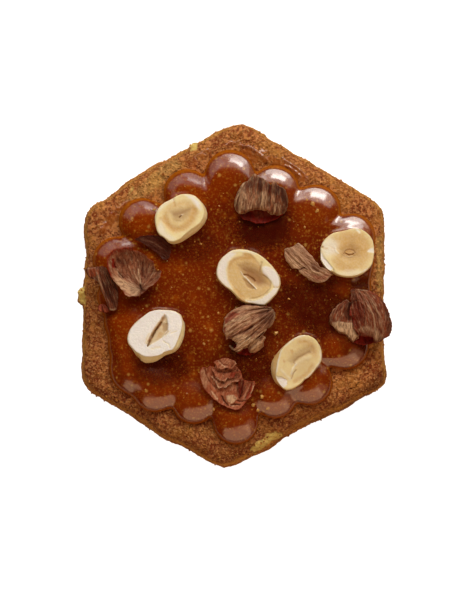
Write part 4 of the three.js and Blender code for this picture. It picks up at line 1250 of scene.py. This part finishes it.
def build_crust(look):
    piece, before, facing, bareness = rough_crust(look)
    after, out = points_of(piece), normals_of(piece)
    relief = np.einsum("ij,ij->i", after - before, out)
    places = on_grid(after)
    top = smoothstep(after[:, 2], 4.5, 7.5)
    masks = {kind: np.zeros(len(after)) for kind in ("golden", "dough", "glaze", "brown")}
    lift = np.full(len(after), 0.25)
    for seed, (kind, shape, ends, width, amount, depth) in enumerate(marks_in(CRUST_MARKS)):
        mask = covered(places, shape, ends, width, 1.6, seed)
        if (kind, shape) == ("glaze", "area"):
            mask = mask * top * smoothstep(noise(after, 2.2, seed) + 0.6 * noise(after, 0.9, 5), -0.5, -0.2)
        if kind == "glaze":
            lift -= depth * mask
        else:
            after[:, 2] -= depth * mask * bareness
        masks[kind] = np.maximum(masks[kind], amount * mask)
    wet = (masks["glaze"] * bareness)[:, None]
    after = after * (1 - wet) + (before + lift[:, None] * [0, 0, 1]) * wet
    after[:, 2] = np.maximum(after[:, 2], 0)
    after[:, :2] *= CRUST_SPREAD
    masks["dough"] *= np.maximum(top, smoothstep(noise(after, 1.6, 8) + (after[:, 2] - 4.5) * 0.5, -0.2, 0.2))
    move_points(piece, after)
    shoulder = smoothstep(1 - facing, 0.45, 0.85) * smoothstep(after[:, 2], 3.5, 6)
    patchy = smoothstep(noise(after, 3.2, 3) + 0.5 * noise(after, 1.1, 6), -0.35, 0.35)
    raised = smoothstep(relief, 0.05, 0.3)
    golden = shoulder * (0.55 + 0.45 * patchy) + 0.25 * raised + 0.25 * (1 - top)
    masks["golden"] = np.clip(golden, 0, 1) * (1 - masks["dough"])
    # Painted shade: the top is darkened towards the front left, away from the key light, and in the hollows of its
    # relief.
    front_left_shade = smoothstep(-0.55 * after[:, 0] - after[:, 1], -8, 34)
    shaded = 0.42 * front_left_shade * top + 0.45 * smoothstep(-relief, 0.05, 0.3) + 0.06
    masks["brown"] = np.clip(masks["brown"] + shaded, 0, 1)
    keep_marks(piece, masks["golden"], masks["dough"], masks["glaze"], masks["brown"])
    finish_piece(piece, crust_material(look), "biscuit")


def build_crumbs(look):
    """Loose crumbs scattered over the bare crust."""
    crust = bpy.data.objects["crust"]
    rng = np.random.default_rng(11)
    points, normals = points_of(crust), normals_of(crust)
    bare = np.flatnonzero((beyond_caramel(points) > 0.5) & (points[:, 2] > 1.0))
    chosen = rng.choice(bare, look.crumbs, replace=False)
    sizes = rng.uniform(0.1, 0.3, look.crumbs)
    places = points[chosen] + normals[chosen] * sizes[:, None] * 0.1
    turns = rng.uniform(0, 2 * math.pi, (look.crumbs, 3))
    stretch = rng.uniform(0.7, 1.2, (look.crumbs, 3))
    piece = scattered("crust_crumbs", crumb_template(2, 0.3, 3), places, sizes, turns, stretch)
    shade = rng.uniform(0, 0.8, look.crumbs).repeat(len(piece.data.vertices) // look.crumbs)
    keep_marks(piece, shade, 0 * shade, 0 * shade, 0.25 * (1 - shade))
    finish_piece(piece, bpy.data.materials["baked crust"])


# ---------------------------------------------------------------------------------------------------------------
# Caramel
# ---------------------------------------------------------------------------------------------------------------

def caramel_material(look):
    made, tree, shader, place, (thin, dome, shade, light) = new_material("nut caramel")
    cloud = use(tree, "Mottle", place, Size=4.5, Detail=3.0, Low=0.4, High=0.68)
    fine = use(tree, "Mottle", place, Size=0.55, Detail=4.0, Low=0.5, High=0.72)
    glows = use(tree, "Speckle", place, Size=3.4, Share=0.5, Width=0.42)
    grains = use(tree, "Speckle", place, Size=2.0, Share=0.7, Width=0.24)
    flecks = use(tree, "Speckle", place, Size=1.0, Share=0.8, Width=0.32)
    dust = use(tree, "Speckle", place, Size=0.5, Share=0.7, Width=0.42)
    # The dots and the light marks take the dot colour as painted light, and the shade marks the colour of painted
    # shadow.
    base = layered(
        tree, look.deep, (cloud, 0.35, look.dome), (sum_of(tree, "MAXIMUM", dome, light), 1, look.dome),
        (glows, 0.6, look.glow), (fine, 0.25, look.fleck), (dust, 0.35, look.fleck), (flecks, 0.6, look.fleck),
        (grains, 0.85, look.grain), (shade, 0.85, look.shade), (thin, 1, look.thin),
    )
    parts = node(tree, "ShaderNodeSeparateXYZ", {0: place}).outputs
    leftward = sum_of(tree, "SUBTRACT", sum_of(tree, "MULTIPLY", parts[1], 0.6), parts[0])
    rim_gloss = ranged(tree, thin, 0.1, 0.85, 1.0, 0.12)
    left_gloss = ranged(tree, leftward, 0.015, 0.023, 1.0, 0.28)
    fill(tree, shader, {
        "Base Color": base, "Roughness": 0.3, "Specular IOR Level": 0.0,
        "Coat Weight": sum_of(tree, "MULTIPLY", rim_gloss, left_gloss), "Coat Roughness": 0.15, "Coat IOR": 2.1,
    })
    ripple = use(tree, "Mottle", place, Size=1.3, Detail=3.0, Low=0.2, High=0.8)
    height = sum_of(tree, "ADD", sum_of(tree, "MULTIPLY", grains, 1.2), flecks)
    height = sum_of(tree, "ADD", height, sum_of(tree, "MULTIPLY", ripple, 3.2))
    set_bump(tree, shader, height, 0.035)
    return made


def build_caramel(look):
    piece, ring, angle = round_body("caramel_pool", 500, CARAMEL_RINGS)
    over = ring < CARAMEL_TOP_RINGS
    below = (CARAMEL_RINGS - ring) / (CARAMEL_RINGS - CARAMEL_TOP_RINGS)
    share = np.clip(np.where(over, 1 - (1 - ring / (CARAMEL_TOP_RINGS - 1)) ** 1.7, below), 0, 1)
    edge = caramel_reach(angle)
    x, y = share * edge * np.cos(angle), share * edge * np.sin(angle)
    depth = caramel_depth(x, y, look.dot_height / MM, look.pool_height / MM)
    flat = np.column_stack([x, y])
    wave = 0.12 * noise(flat, 6.5, 1) + 0.05 * noise(flat, 2.4, 2) + 0.022 * noise(flat, 0.9, 3)
    places = on_grid(flat)
    collar = np.zeros(len(x))
    for kernel in KERNELS:
        middle = np.array(kernel["middle"], float)
        offset = places - middle
        edge_at = reach(path(kernel["body"]), middle, np.arctan2(offset[:, 1], offset[:, 0]))
        gap = np.maximum(np.hypot(*offset.T) - edge_at, 0) * GRID_STEP
        collar = np.maximum(collar, 0.16 * np.exp(-((gap / 0.5) ** 2)))
    settled = (1 - share**20) * np.minimum(depth, 1)
    height = np.where(over & (share < 1), CARAMEL_FOOT + depth + (wave + collar) * settled, CARAMEL_FOOT - 0.45)
    move_points(piece, np.column_stack([x, y, height]))
    # The rim is lighter where the caramel is thin, and drawn wider and brighter at the back, as painted light from
    # the key shining through it.
    behind = smoothstep(y, 4, 20)
    thin = (0.75 + 0.2 * behind) * (1 - smoothstep((1 - share) * edge, 0.25, 0.9 + 0.3 * behind))
    # Painted light: the dots are drawn lighter, as if the light glowed through them.
    nearest_dot = np.min([np.hypot(x - dx, y - dy) / r for dx, dy, r in DOTS], axis=0)
    dome = 0.8 * (1 - smoothstep(nearest_dot, 0.35, 1.25))
    shade, light = np.zeros(len(x)), np.zeros(len(x))
    for seed, (kind, shape, corners, width, amount, _) in enumerate(marks_in(CARAMEL_MARKS)):
        mask = amount * covered(places, shape, corners, width, 3.0, seed)
        if kind == "shade":
            shade = np.maximum(shade, mask)
        else:
            light = np.maximum(light, mask)
    keep_marks(piece, np.where(over, thin, 0), dome, shade, light)
    finish_piece(piece, caramel_material(look), "caramel")


def grain_material(look):
    made, tree, shader, place, (shade, *_) = new_material("nut grains")
    fine = use(tree, "Mottle", place, Size=0.3, Detail=3.0, Low=0.35, High=0.65)
    base = layered(tree, look.fleck, (fine, 1, look.grain), (shade, 0.7, look.dome))
    fill(tree, shader, {"Base Color": base, "Roughness": 0.4, "Coat Weight": 0.8, "Coat Roughness": 0.08})
    set_bump(tree, shader, fine, 0.03)
    return made


def build_grains(look):
    """Grains of nut that break the surface of the caramel."""
    pool = bpy.data.objects["caramel_pool"]
    tree = BVHTree.FromPolygons([v.co for v in pool.data.vertices], [p.vertices for p in pool.data.polygons])
    rng = np.random.default_rng(5)
    spots = [(*off_grid(spot[:2]), spot[2] / 2) for spot in GOLDEN_CRUMBS]
    while len(spots) < look.grains + len(GOLDEN_CRUMBS):
        angle, share = rng.uniform(0, 2 * math.pi), math.sqrt(rng.uniform(0, 0.85))
        far = share * float(caramel_reach(np.array([angle]))[0])
        spots.append((far * math.cos(angle), far * math.sin(angle), rng.uniform(0.12, 0.26)))
    places, sizes = [], []
    for n, (x, y, size) in enumerate(spots):
        hit = tree.ray_cast(Vector((x * MM, y * MM, ABOVE_ALL)), Vector((0, 0, -1)))[0]
        if hit is None:
            raise RuntimeError(f"no caramel under the grain at {x:.1f}, {y:.1f}")
        places.append((x, y, hit.z / MM - (0.3 if n < len(GOLDEN_CRUMBS) else 0.55) * size))
        sizes.append(size)
    count = len(places)
    piece = scattered("caramel_grains", crumb_template(2, 0.35, 7), places, sizes,
                      rng.uniform(0, 2 * math.pi, (count, 3)), rng.uniform(0.6, 1.25, (count, 3)))
    shade = rng.uniform(0, 0.8, count)
    shade[: len(GOLDEN_CRUMBS)] = 0
    keep_marks(piece, shade.repeat(len(piece.data.vertices) // count))
    finish_piece(piece, grain_material(look))


# ---------------------------------------------------------------------------------------------------------------
# Kernels
# ---------------------------------------------------------------------------------------------------------------

# The kernel's section from the middle of its cut face to the middle of its back: share of the way round, how much
# of the face's outline and of the body's the ring follows, and its height in millimetres.
KERNEL_SECTION = np.array([
    (0.00, 0.000, 0.00, 0.00), (0.50, 0.965, 0.00, 0.00), (0.53, 0.99, 0.00, -0.10), (0.56, 0.97, 0.03, -0.32),
    (0.62, 0.45, 0.55, -0.95), (0.70, 0.10, 0.89, -1.80), (0.78, 0.00, 0.96, -2.70), (0.86, 0.00, 0.82, -3.70),
    (0.93, 0.00, 0.52, -4.50), (1.00, 0.000, 0.00, -5.00),
])


def kernel_frames():
    """For each kernel, its middle in millimetres, the height there and the slope of its cut face."""
    frames = []
    for kernel in KERNELS:
        turned = Euler([math.radians(kernel[k]) for k in ("roll", "pitch", "turn")], "XYZ").to_matrix()
        up = turned @ Vector((0, 0, 1))
        frames.append((np.array(kernel["at"]), kernel["height"], np.array([-up.x / up.z, -up.y / up.z])))
    return frames


def kernel_material(look):
    made, tree, shader, place, (toast, brown, white, dark) = new_material("hazelnut kernel")
    soft = use(tree, "Mottle", place, Size=1.6, Detail=3.0, Low=0.3, High=0.7)
    fine = use(tree, "Mottle", place, Size=0.45, Detail=4.0, Low=0.35, High=0.65)
    specks = use(tree, "Speckle", place, Size=1.3, Share=0.25, Width=0.18)
    # The brown and dark layers are partly painted shade in the hollows and cracks of the cut face.
    base = layered(
        tree, look.cream, (soft, 0.16, look.toast), (toast, 1, look.toast), (fine, 0.12, look.white),
        (white, 1, look.white), (specks, 0.15, look.toast), (brown, 1, look.brown), (dark, 1, look.dark),
    )
    fill(tree, shader, {
        "Base Color": base, "Roughness": 0.5, "Specular IOR Level": 0.15, "Subsurface Weight": 0.15,
        "Subsurface Radius": (1.0, 0.8, 0.5), "Subsurface Scale": 0.0015,
    })
    broken = sum_of(tree, "MULTIPLY", sum_of(tree, "MULTIPLY", white, fine), 0.4)
    height = sum_of(tree, "ADD", sum_of(tree, "MULTIPLY", fine, 0.3), broken)
    set_bump(tree, shader, height, 0.05)
    return made


def kernel_section():
    """The kernel's section at each ring, with its corners worn off."""
    rings = np.arange(KERNEL_RINGS + 1) / KERNEL_RINGS
    section = np.column_stack([np.interp(rings, KERNEL_SECTION[:, 0], KERNEL_SECTION[:, k]) for k in (1, 2, 3)])
    for _ in range(3):
        section[1:-1] = (section[:-2] + 2 * section[1:-1] + section[2:]) / 4
    return section


def kernel_masks(kernel, places, on_face):
    """The colours of a kernel at places on the grid, as masks, and how deep its hollows are there."""
    masks = {kind: np.zeros(len(places)) for kind in ("toast", "brown", "white", "dark")}
    dip = np.zeros(len(places))
    for seed, (kind, shape, corners, width, amount, depth) in enumerate(marks_in(kernel["marks"])):
        mask = covered(places, shape, corners, width, 0.5, seed) * (1 if kind == "toast" else on_face)
        dip += depth * mask
        mask = amount * mask
        for other in masks:
            if other != "dark" and not (kind in ("brown", "dark") and other == "toast"):
                masks[other] *= 1 - mask
        if kind == "tan":
            masks["toast"] += 0.35 * mask
            masks["brown"] += 0.3 * mask
        elif kind != "cream":
            masks[kind] += mask * (1 - masks[kind]) if kind == "dark" else mask
    return masks, dip


def build_kernel(number, kernel, spot, material):
    piece, ring, angle = round_body(f"kernel_{number}", 168, KERNEL_RINGS)
    down = ring / KERNEL_RINGS
    middle = np.array(kernel["middle"], float)
    face_share, body_share, drop = kernel_section()[ring].T
    face, body = (reach(path(kernel[k]), middle, angle) for k in ("face", "body"))
    far = face_share * face + body_share * body
    places = middle + far[:, None] * np.column_stack([np.cos(angle), np.sin(angle)])
    flat = off_grid(places)
    at, height, lean = spot
    z = height + (flat - at) @ lean + drop
    on_face = 1 - smoothstep(down, 0.50, 0.57)
    masks, dip = kernel_masks(kernel, places, on_face)
    wavy = 0.06 * noise(flat, 2.2, number) + 0.02 * noise(flat, 0.7, number + 3)
    z = z - dip * on_face + wavy * on_face
    wall = smoothstep(down, 0.53, 0.58)
    side = noise(np.column_stack([flat, z]), 2.5, number)
    masks["toast"] = np.clip(masks["toast"] + wall * (kernel["wall"] + 0.2 * side), 0, 1)
    masks["white"] *= 1 - wall
    fold = wall * 0.12 * noise(np.column_stack([angle * 2.2, z * 0.3]), 1.0, number)
    flat = flat + fold[:, None] * np.column_stack([np.cos(angle), -np.sin(angle)])
    move_points(piece, np.column_stack([flat, z]))
    turn_out(piece)
    keep_marks(piece, *masks.values())
    finish_piece(piece, material, kernel["node"])


# ---------------------------------------------------------------------------------------------------------------
# Torn skins
# ---------------------------------------------------------------------------------------------------------------

def skin_material(look):
    made, tree, shader, place, (pale, red, dark, orange) = new_material("hazelnut skin")
    along = node(tree, "ShaderNodeUVMap", uv_map="UVMap").outputs[0]
    broad = use(tree, "Streaks", along, Count=0.8, Wander=0.4, Low=0.36, High=0.6)
    thread = use(tree, "Streaks", along, Count=2.8, Wander=0.8, Low=0.47, High=0.6)
    light = use(tree, "Streaks", along, Count=1.9, Wander=0.5, Low=0.51, High=0.59)
    fine = use(tree, "Mottle", place, Size=0.4, Detail=4.0, Low=0.35, High=0.65)
    base = layered(
        tree, look.brown, (ranged(tree, broad, 0, 1, 0.45, 0.0), 1, look.dark), (light, 0.5, look.pale),
        (thread, 0.58, look.dark), (fine, 0.07, look.pale), (orange, 0.9, look.orange),
        (pale, ranged(tree, thread, 0, 1, 1.0, 0.45), look.pale), (red, 1, look.red), (dark, 0.85, look.dark),
    )
    fill(tree, shader, {
        "Base Color": base, "Roughness": 0.5, "Specular IOR Level": 0.08, "Coat Weight": 0.06,
        "Coat Roughness": 0.2,
    })
    height = sum_of(tree, "SUBTRACT", sum_of(tree, "ADD", broad, sum_of(tree, "MULTIPLY", fine, 0.3)), thread)
    set_bump(tree, shader, height, 0.1)
    return made


def torn_edge(sheet, count, seed):
    """Places on the grid along the sheet's torn edge."""
    edge = rounded(closed_curve(path(sheet["outline"]), count * 4)[0], 2)[::4]
    outwards = edge - np.array(sheet["middle"], float)
    outwards /= np.hypot(*outwards.T)[:, None]
    torn = 0.55 * noise(edge, 1.6, seed) + 0.35 * noise(edge, 0.8, seed + 2)
    return edge + torn[:, None] * outwards


def streak_places(start, end, flat, inside, streaks):
    """How far points are across and along the streaks, which run in arcs from one pole to the other."""
    to_start, to_end = start - flat, end - flat
    side = to_start[:, 0] * to_end[:, 1] - to_start[:, 1] * to_end[:, 0]
    turn = np.arctan2(side, np.einsum("ij,ij->i", to_start, to_end))
    turn = np.where(turn < 0, turn + 2 * math.pi, turn)
    across = (turn - turn[inside].min()) / max(np.ptp(turn[inside]), 1e-6) * streaks
    return across, np.hypot(*to_start.T)


# Which colours of a skin a mark of each kind takes away.
TAKES_AWAY = {"pale": ("dark", "red"), "orange": ("dark", "red"), "dark": ("pale",), "red": ("pale",)}


def build_sheet(name, sheet, look, seed):
    _, around = closed_curve(path(sheet["outline"]), 8)
    segments = int(np.clip(around * 1.25, 60, 230))
    rings = 2 * int(np.clip(around * 0.22, 12, 46))
    piece, ring, angle = round_body(name, segments, rings)
    down = ring / rings
    step = np.round(angle / (2 * math.pi / segments)).astype(int) % segments
    share = 1 - np.abs(2 * down - 1)
    middle = np.array(sheet["middle"], float)
    places = middle + share[:, None] * (torn_edge(sheet, segments, seed)[step] - middle)
    flat = off_grid(places)
    start, end = (off_grid(pole) for pole in sheet["poles"])
    across, along = streak_places(start, end, flat, share > 0, sheet["streaks"])
    axis = (end - start) / np.hypot(*(end - start))
    offset = flat - off_grid(middle)
    ahead, aside = offset @ axis, offset @ np.array([-axis[1], axis[0]])
    height = sheet["height"] - sheet["along"] * ahead**2 - sheet["across"] * aside**2
    height += offset @ np.array(sheet["lean"], float) + sheet["lip"] * share**6
    ridge = noise(np.column_stack([across, along * 0.12]), 1.0, seed) + 0.5 * noise(
        np.column_stack([across * 2.3, along * 0.3]), 1.0, seed + 4)
    stripes = sheet.get("stripes", 0.5)
    height += 2 * stripes * look.ridges / MM * ridge + 0.06 * noise(flat, 1.2, seed + 7)
    masks = {k: np.full(len(height), float(sheet.get(k, 0))) for k in ("pale", "red", "dark", "orange")}
    for n, (kind, shape, corners, width, amount, depth) in enumerate(marks_in(sheet["marks"])):
        mask = covered(places, shape, corners, width, 0.6, n)
        masks[kind] = masks[kind] + amount * mask * (1 - masks[kind])
        for other in TAKES_AWAY[kind]:
            masks[other] *= 1 - 0.8 * amount * mask
        height -= depth * mask
    # The stripes darken the grooves between the ridges and lighten their crests: partly the skin's own streaks,
    # partly painted shade and painted light on its relief.
    stripes = stripes * (1 - masks["red"])
    masks["dark"] = masks["dark"] + stripes * smoothstep(-ridge, 0.05, 0.55) * (1 - masks["pale"])
    masks["pale"] = masks["pale"] + 0.8 * stripes * smoothstep(ridge, 0.1, 0.6) * (1 - masks["dark"])
    under = down > 0.5
    thick = look.thickness / MM * np.sqrt(np.clip(1 - share**8, 0, 1))
    height += np.where(under, -thick / 2, thick / 2)
    rim, at_rim = sheet.get("rim", "red"), smoothstep(share, 0.955, 1.0)
    masks[rim] = masks[rim] + 0.75 * at_rim * (1 - masks["pale"])
    masks["dark"] = masks["dark"] * (1 - 0.6 * at_rim)
    masks["red"] = masks["red"] + 0.7 * under
    move_points(piece, np.column_stack([flat, height]))
    turn_out(piece)
    keep_marks(piece, masks["pale"], masks["red"], masks["dark"], masks["orange"])
    keep_uv(piece, across + 3.7 * seed, along)
    return piece


def build_skin(number, solid, sheets, look, material):
    sheets = [build_sheet(f"skin_sheet_{number}_{n}", sheet, look, 10 * number + n)
              for n, sheet in enumerate(sheets)]
    pick(sheets[0])
    for sheet in sheets[1:]:
        sheet.select_set(True)
    if len(sheets) > 1:
        bpy.ops.object.join()
    piece = sheets[0]
    piece.name = piece.data.name = f"torn_skin_{number}"
    finish_piece(piece, material, solid)


# ---------------------------------------------------------------------------------------------------------------
# Stage
# ---------------------------------------------------------------------------------------------------------------

def add_light(name, azimuth, elevation, brightness, colour, distance=0.75):
    """A soft rectangular light round the biscuit. azimuth and elevation are its two edges, in degrees."""
    deselect_all()
    turn, rise = (math.radians(sum(pair) / 2) for pair in (azimuth, elevation))
    away = Vector((math.cos(rise) * math.cos(turn), math.cos(rise) * math.sin(turn), math.sin(rise)))
    bpy.ops.object.light_add(type="AREA", location=away * distance)
    lamp = bpy.context.object
    lamp.name = name
    lamp.rotation_euler = away.to_track_quat("Z", "Y").to_euler()
    lamp.data.shape = "RECTANGLE"
    lamp.data.size, lamp.data.size_y = (2 * distance * math.tan(math.radians(pair[1] - pair[0]) / 2)
                                        for pair in (azimuth, elevation))
    lamp.data.energy = brightness * math.pi * lamp.data.size * lamp.data.size_y
    lamp.data.color = colour
    lamp.visible_camera = False


def add_floor():
    """A pale floor just under the biscuit, which looks white to the camera."""
    deselect_all()
    bpy.ops.mesh.primitive_plane_add(size=4, location=(0, 0, -0.0001))
    floor = bpy.context.object
    floor.name = "floor"
    material = bpy.data.materials.new("pale floor")
    material.use_nodes = True
    tree = material.node_tree
    fill(tree, tree.nodes["Principled BSDF"], {
        "Base Color": (0.55, 0.48, 0.4, 1), "Roughness": 0.9, "Specular IOR Level": 0.0,
        "Emission Color": (1, 1, 1, 1),
        "Emission Strength": node(tree, "ShaderNodeLightPath").outputs["Is Camera Ray"],
    })
    floor.data.materials.append(material)


def add_world():
    """A world that is white to the camera and lights the biscuit only dimly."""
    world = bpy.data.worlds.new("studio")
    bpy.context.scene.world = world
    world.use_nodes = True
    tree = world.node_tree
    seen = tree.nodes["Background"]
    seen.inputs["Color"].default_value = (1, 1, 1, 1)
    dim = node(tree, "ShaderNodeBackground", {"Color": (1.0, 0.8, 0.6, 1), "Strength": 0.004})
    to_camera = node(tree, "ShaderNodeLightPath").outputs["Is Camera Ray"]
    both = node(tree, "ShaderNodeMixShader", {0: to_camera, 1: dim.outputs[0], 2: seen.outputs[0]})
    tree.links.new(both.outputs[0], tree.nodes["World Output"].inputs["Surface"])


def add_camera(look):
    """A long lens that sees the biscuit as the photograph does."""
    deselect_all()
    distance = PICTURE_HEIGHT * look.lens / SENSOR_HEIGHT
    away = Vector((0, -math.cos(look.elevation), math.sin(look.elevation)))
    tilt = (math.pi / 2 - look.elevation, 0, 0)
    bpy.ops.object.camera_add(location=CAMERA_AIM + away * distance, rotation=tilt)
    camera = bpy.context.object
    camera.data.lens = look.lens
    camera.data.sensor_fit = "VERTICAL"
    camera.data.sensor_height = SENSOR_HEIGHT
    camera.data.clip_start, camera.data.clip_end = 0.05, 10
    bpy.context.scene.camera = camera


def build_stage(look):
    add_floor()
    add_world()
    white, warm = (1.0, 0.995, 0.95), (1.0, 0.62, 0.36)
    add_light("key top", (56, 88), (39, 50), look.key, white)
    add_light("key glow", (40, 118), (36, 63), 0.13 * look.key, white, 0.8)
    add_light("key", (50, 104), (24, 38), 0.45 * look.key, white)
    add_light("key wing", (116, 155), (26, 52), 0.16 * look.key, white)
    add_light("halo", (30, 150), (25, 66), 0.6 * look.card, warm, 0.9)
    add_light("front card", (-118, -48), (10, 60), look.card, warm, 0.7)
    add_light("side card", (-48, -22), (20, 60), 0.35 * look.card, warm, 0.7)
    add_camera(look)
    bpy.context.scene.view_settings.view_transform = "Standard"


# ---------------------------------------------------------------------------------------------------------------
# Operators and panel
# ---------------------------------------------------------------------------------------------------------------

class BISCUIT_OT_crust(bpy.types.Operator):
    """Roughens the biscuit's solid into a baked crust"""
    bl_idname = "biscuit.crust"
    bl_label = "Crust"

    def execute(self, context):
        build_crust(context.scene.biscuit_crust)
        return {"FINISHED"}


class BISCUIT_OT_crumbs(bpy.types.Operator):
    """Scatters loose crumbs on the crust"""
    bl_idname = "biscuit.crumbs"
    bl_label = "Crumbs"

    def execute(self, context):
        build_crumbs(context.scene.biscuit_crust)
        return {"FINISHED"}


class BISCUIT_OT_caramel(bpy.types.Operator):
    """Pours the pool of caramel with its rim of piped dots"""
    bl_idname = "biscuit.caramel"
    bl_label = "Caramel"

    def execute(self, context):
        build_caramel(context.scene.biscuit_caramel)
        return {"FINISHED"}


class BISCUIT_OT_grains(bpy.types.Operator):
    """Sets grains of nut in the caramel"""
    bl_idname = "biscuit.grains"
    bl_label = "Nut grains"

    def execute(self, context):
        build_grains(context.scene.biscuit_caramel)
        return {"FINISHED"}


class BISCUIT_OT_kernels(bpy.types.Operator):
    """Models the five halved hazelnuts"""
    bl_idname = "biscuit.kernels"
    bl_label = "Hazelnuts"

    def execute(self, context):
        material = kernel_material(context.scene.biscuit_kernels)
        for number, (kernel, spot) in enumerate(zip(KERNELS, kernel_frames()), 1):
            build_kernel(number, kernel, spot, material)
        return {"FINISHED"}


class BISCUIT_OT_skins(bpy.types.Operator):
    """Models the eight torn pieces of hazelnut skin"""
    bl_idname = "biscuit.skins"
    bl_label = "Torn skins"

    def execute(self, context):
        look = context.scene.biscuit_skins
        material = skin_material(look)
        for number, (solid, sheets) in enumerate(SKINS.items(), 1):
            build_skin(number, solid, sheets, look, material)
        return {"FINISHED"}


class BISCUIT_OT_stage(bpy.types.Operator):
    """Sets up the floor, the lights and the camera"""
    bl_idname = "biscuit.stage"
    bl_label = "Stage"

    def execute(self, context):
        build_stage(context.scene.biscuit_stage)
        return {"FINISHED"}


STEPS = (BISCUIT_OT_crust, BISCUIT_OT_crumbs, BISCUIT_OT_caramel, BISCUIT_OT_grains, BISCUIT_OT_kernels,
         BISCUIT_OT_skins, BISCUIT_OT_stage)
SETTINGS = {
    "biscuit_crust": CrustSettings, "biscuit_caramel": CaramelSettings, "biscuit_kernels": KernelSettings,
    "biscuit_skins": SkinSettings, "biscuit_stage": StageSettings,
}


class BISCUIT_PT_panel(bpy.types.Panel):
    """Lists the steps that dress the biscuit, with their settings"""
    bl_idname = "BISCUIT_PT_panel"
    bl_label = "Hazelnut biscuit"
    bl_space_type = "VIEW_3D"
    bl_region_type = "UI"
    bl_category = "Biscuit"

    def draw(self, context):
        for step in STEPS:
            self.layout.operator(step.bl_idname)
        for name, group in SETTINGS.items():
            box = self.layout.box()
            for field in group.__annotations__:
                box.prop(getattr(context.scene, name), field)


CLASSES = (*SETTINGS.values(), *STEPS, BISCUIT_PT_panel)


def register():
    for kind in CLASSES:
        bpy.utils.register_class(kind)
    for name, group in SETTINGS.items():
        setattr(bpy.types.Scene, name, bpy.props.PointerProperty(type=group))


def unregister():
    for name in SETTINGS:
        delattr(bpy.types.Scene, name)
    for kind in reversed(CLASSES):
        bpy.utils.unregister_class(kind)


def main():
    register()
    for step in STEPS:
        group, name = step.bl_idname.split(".")
        getattr(getattr(bpy.ops, group), name)()


if __name__ == "__main__":
    main()
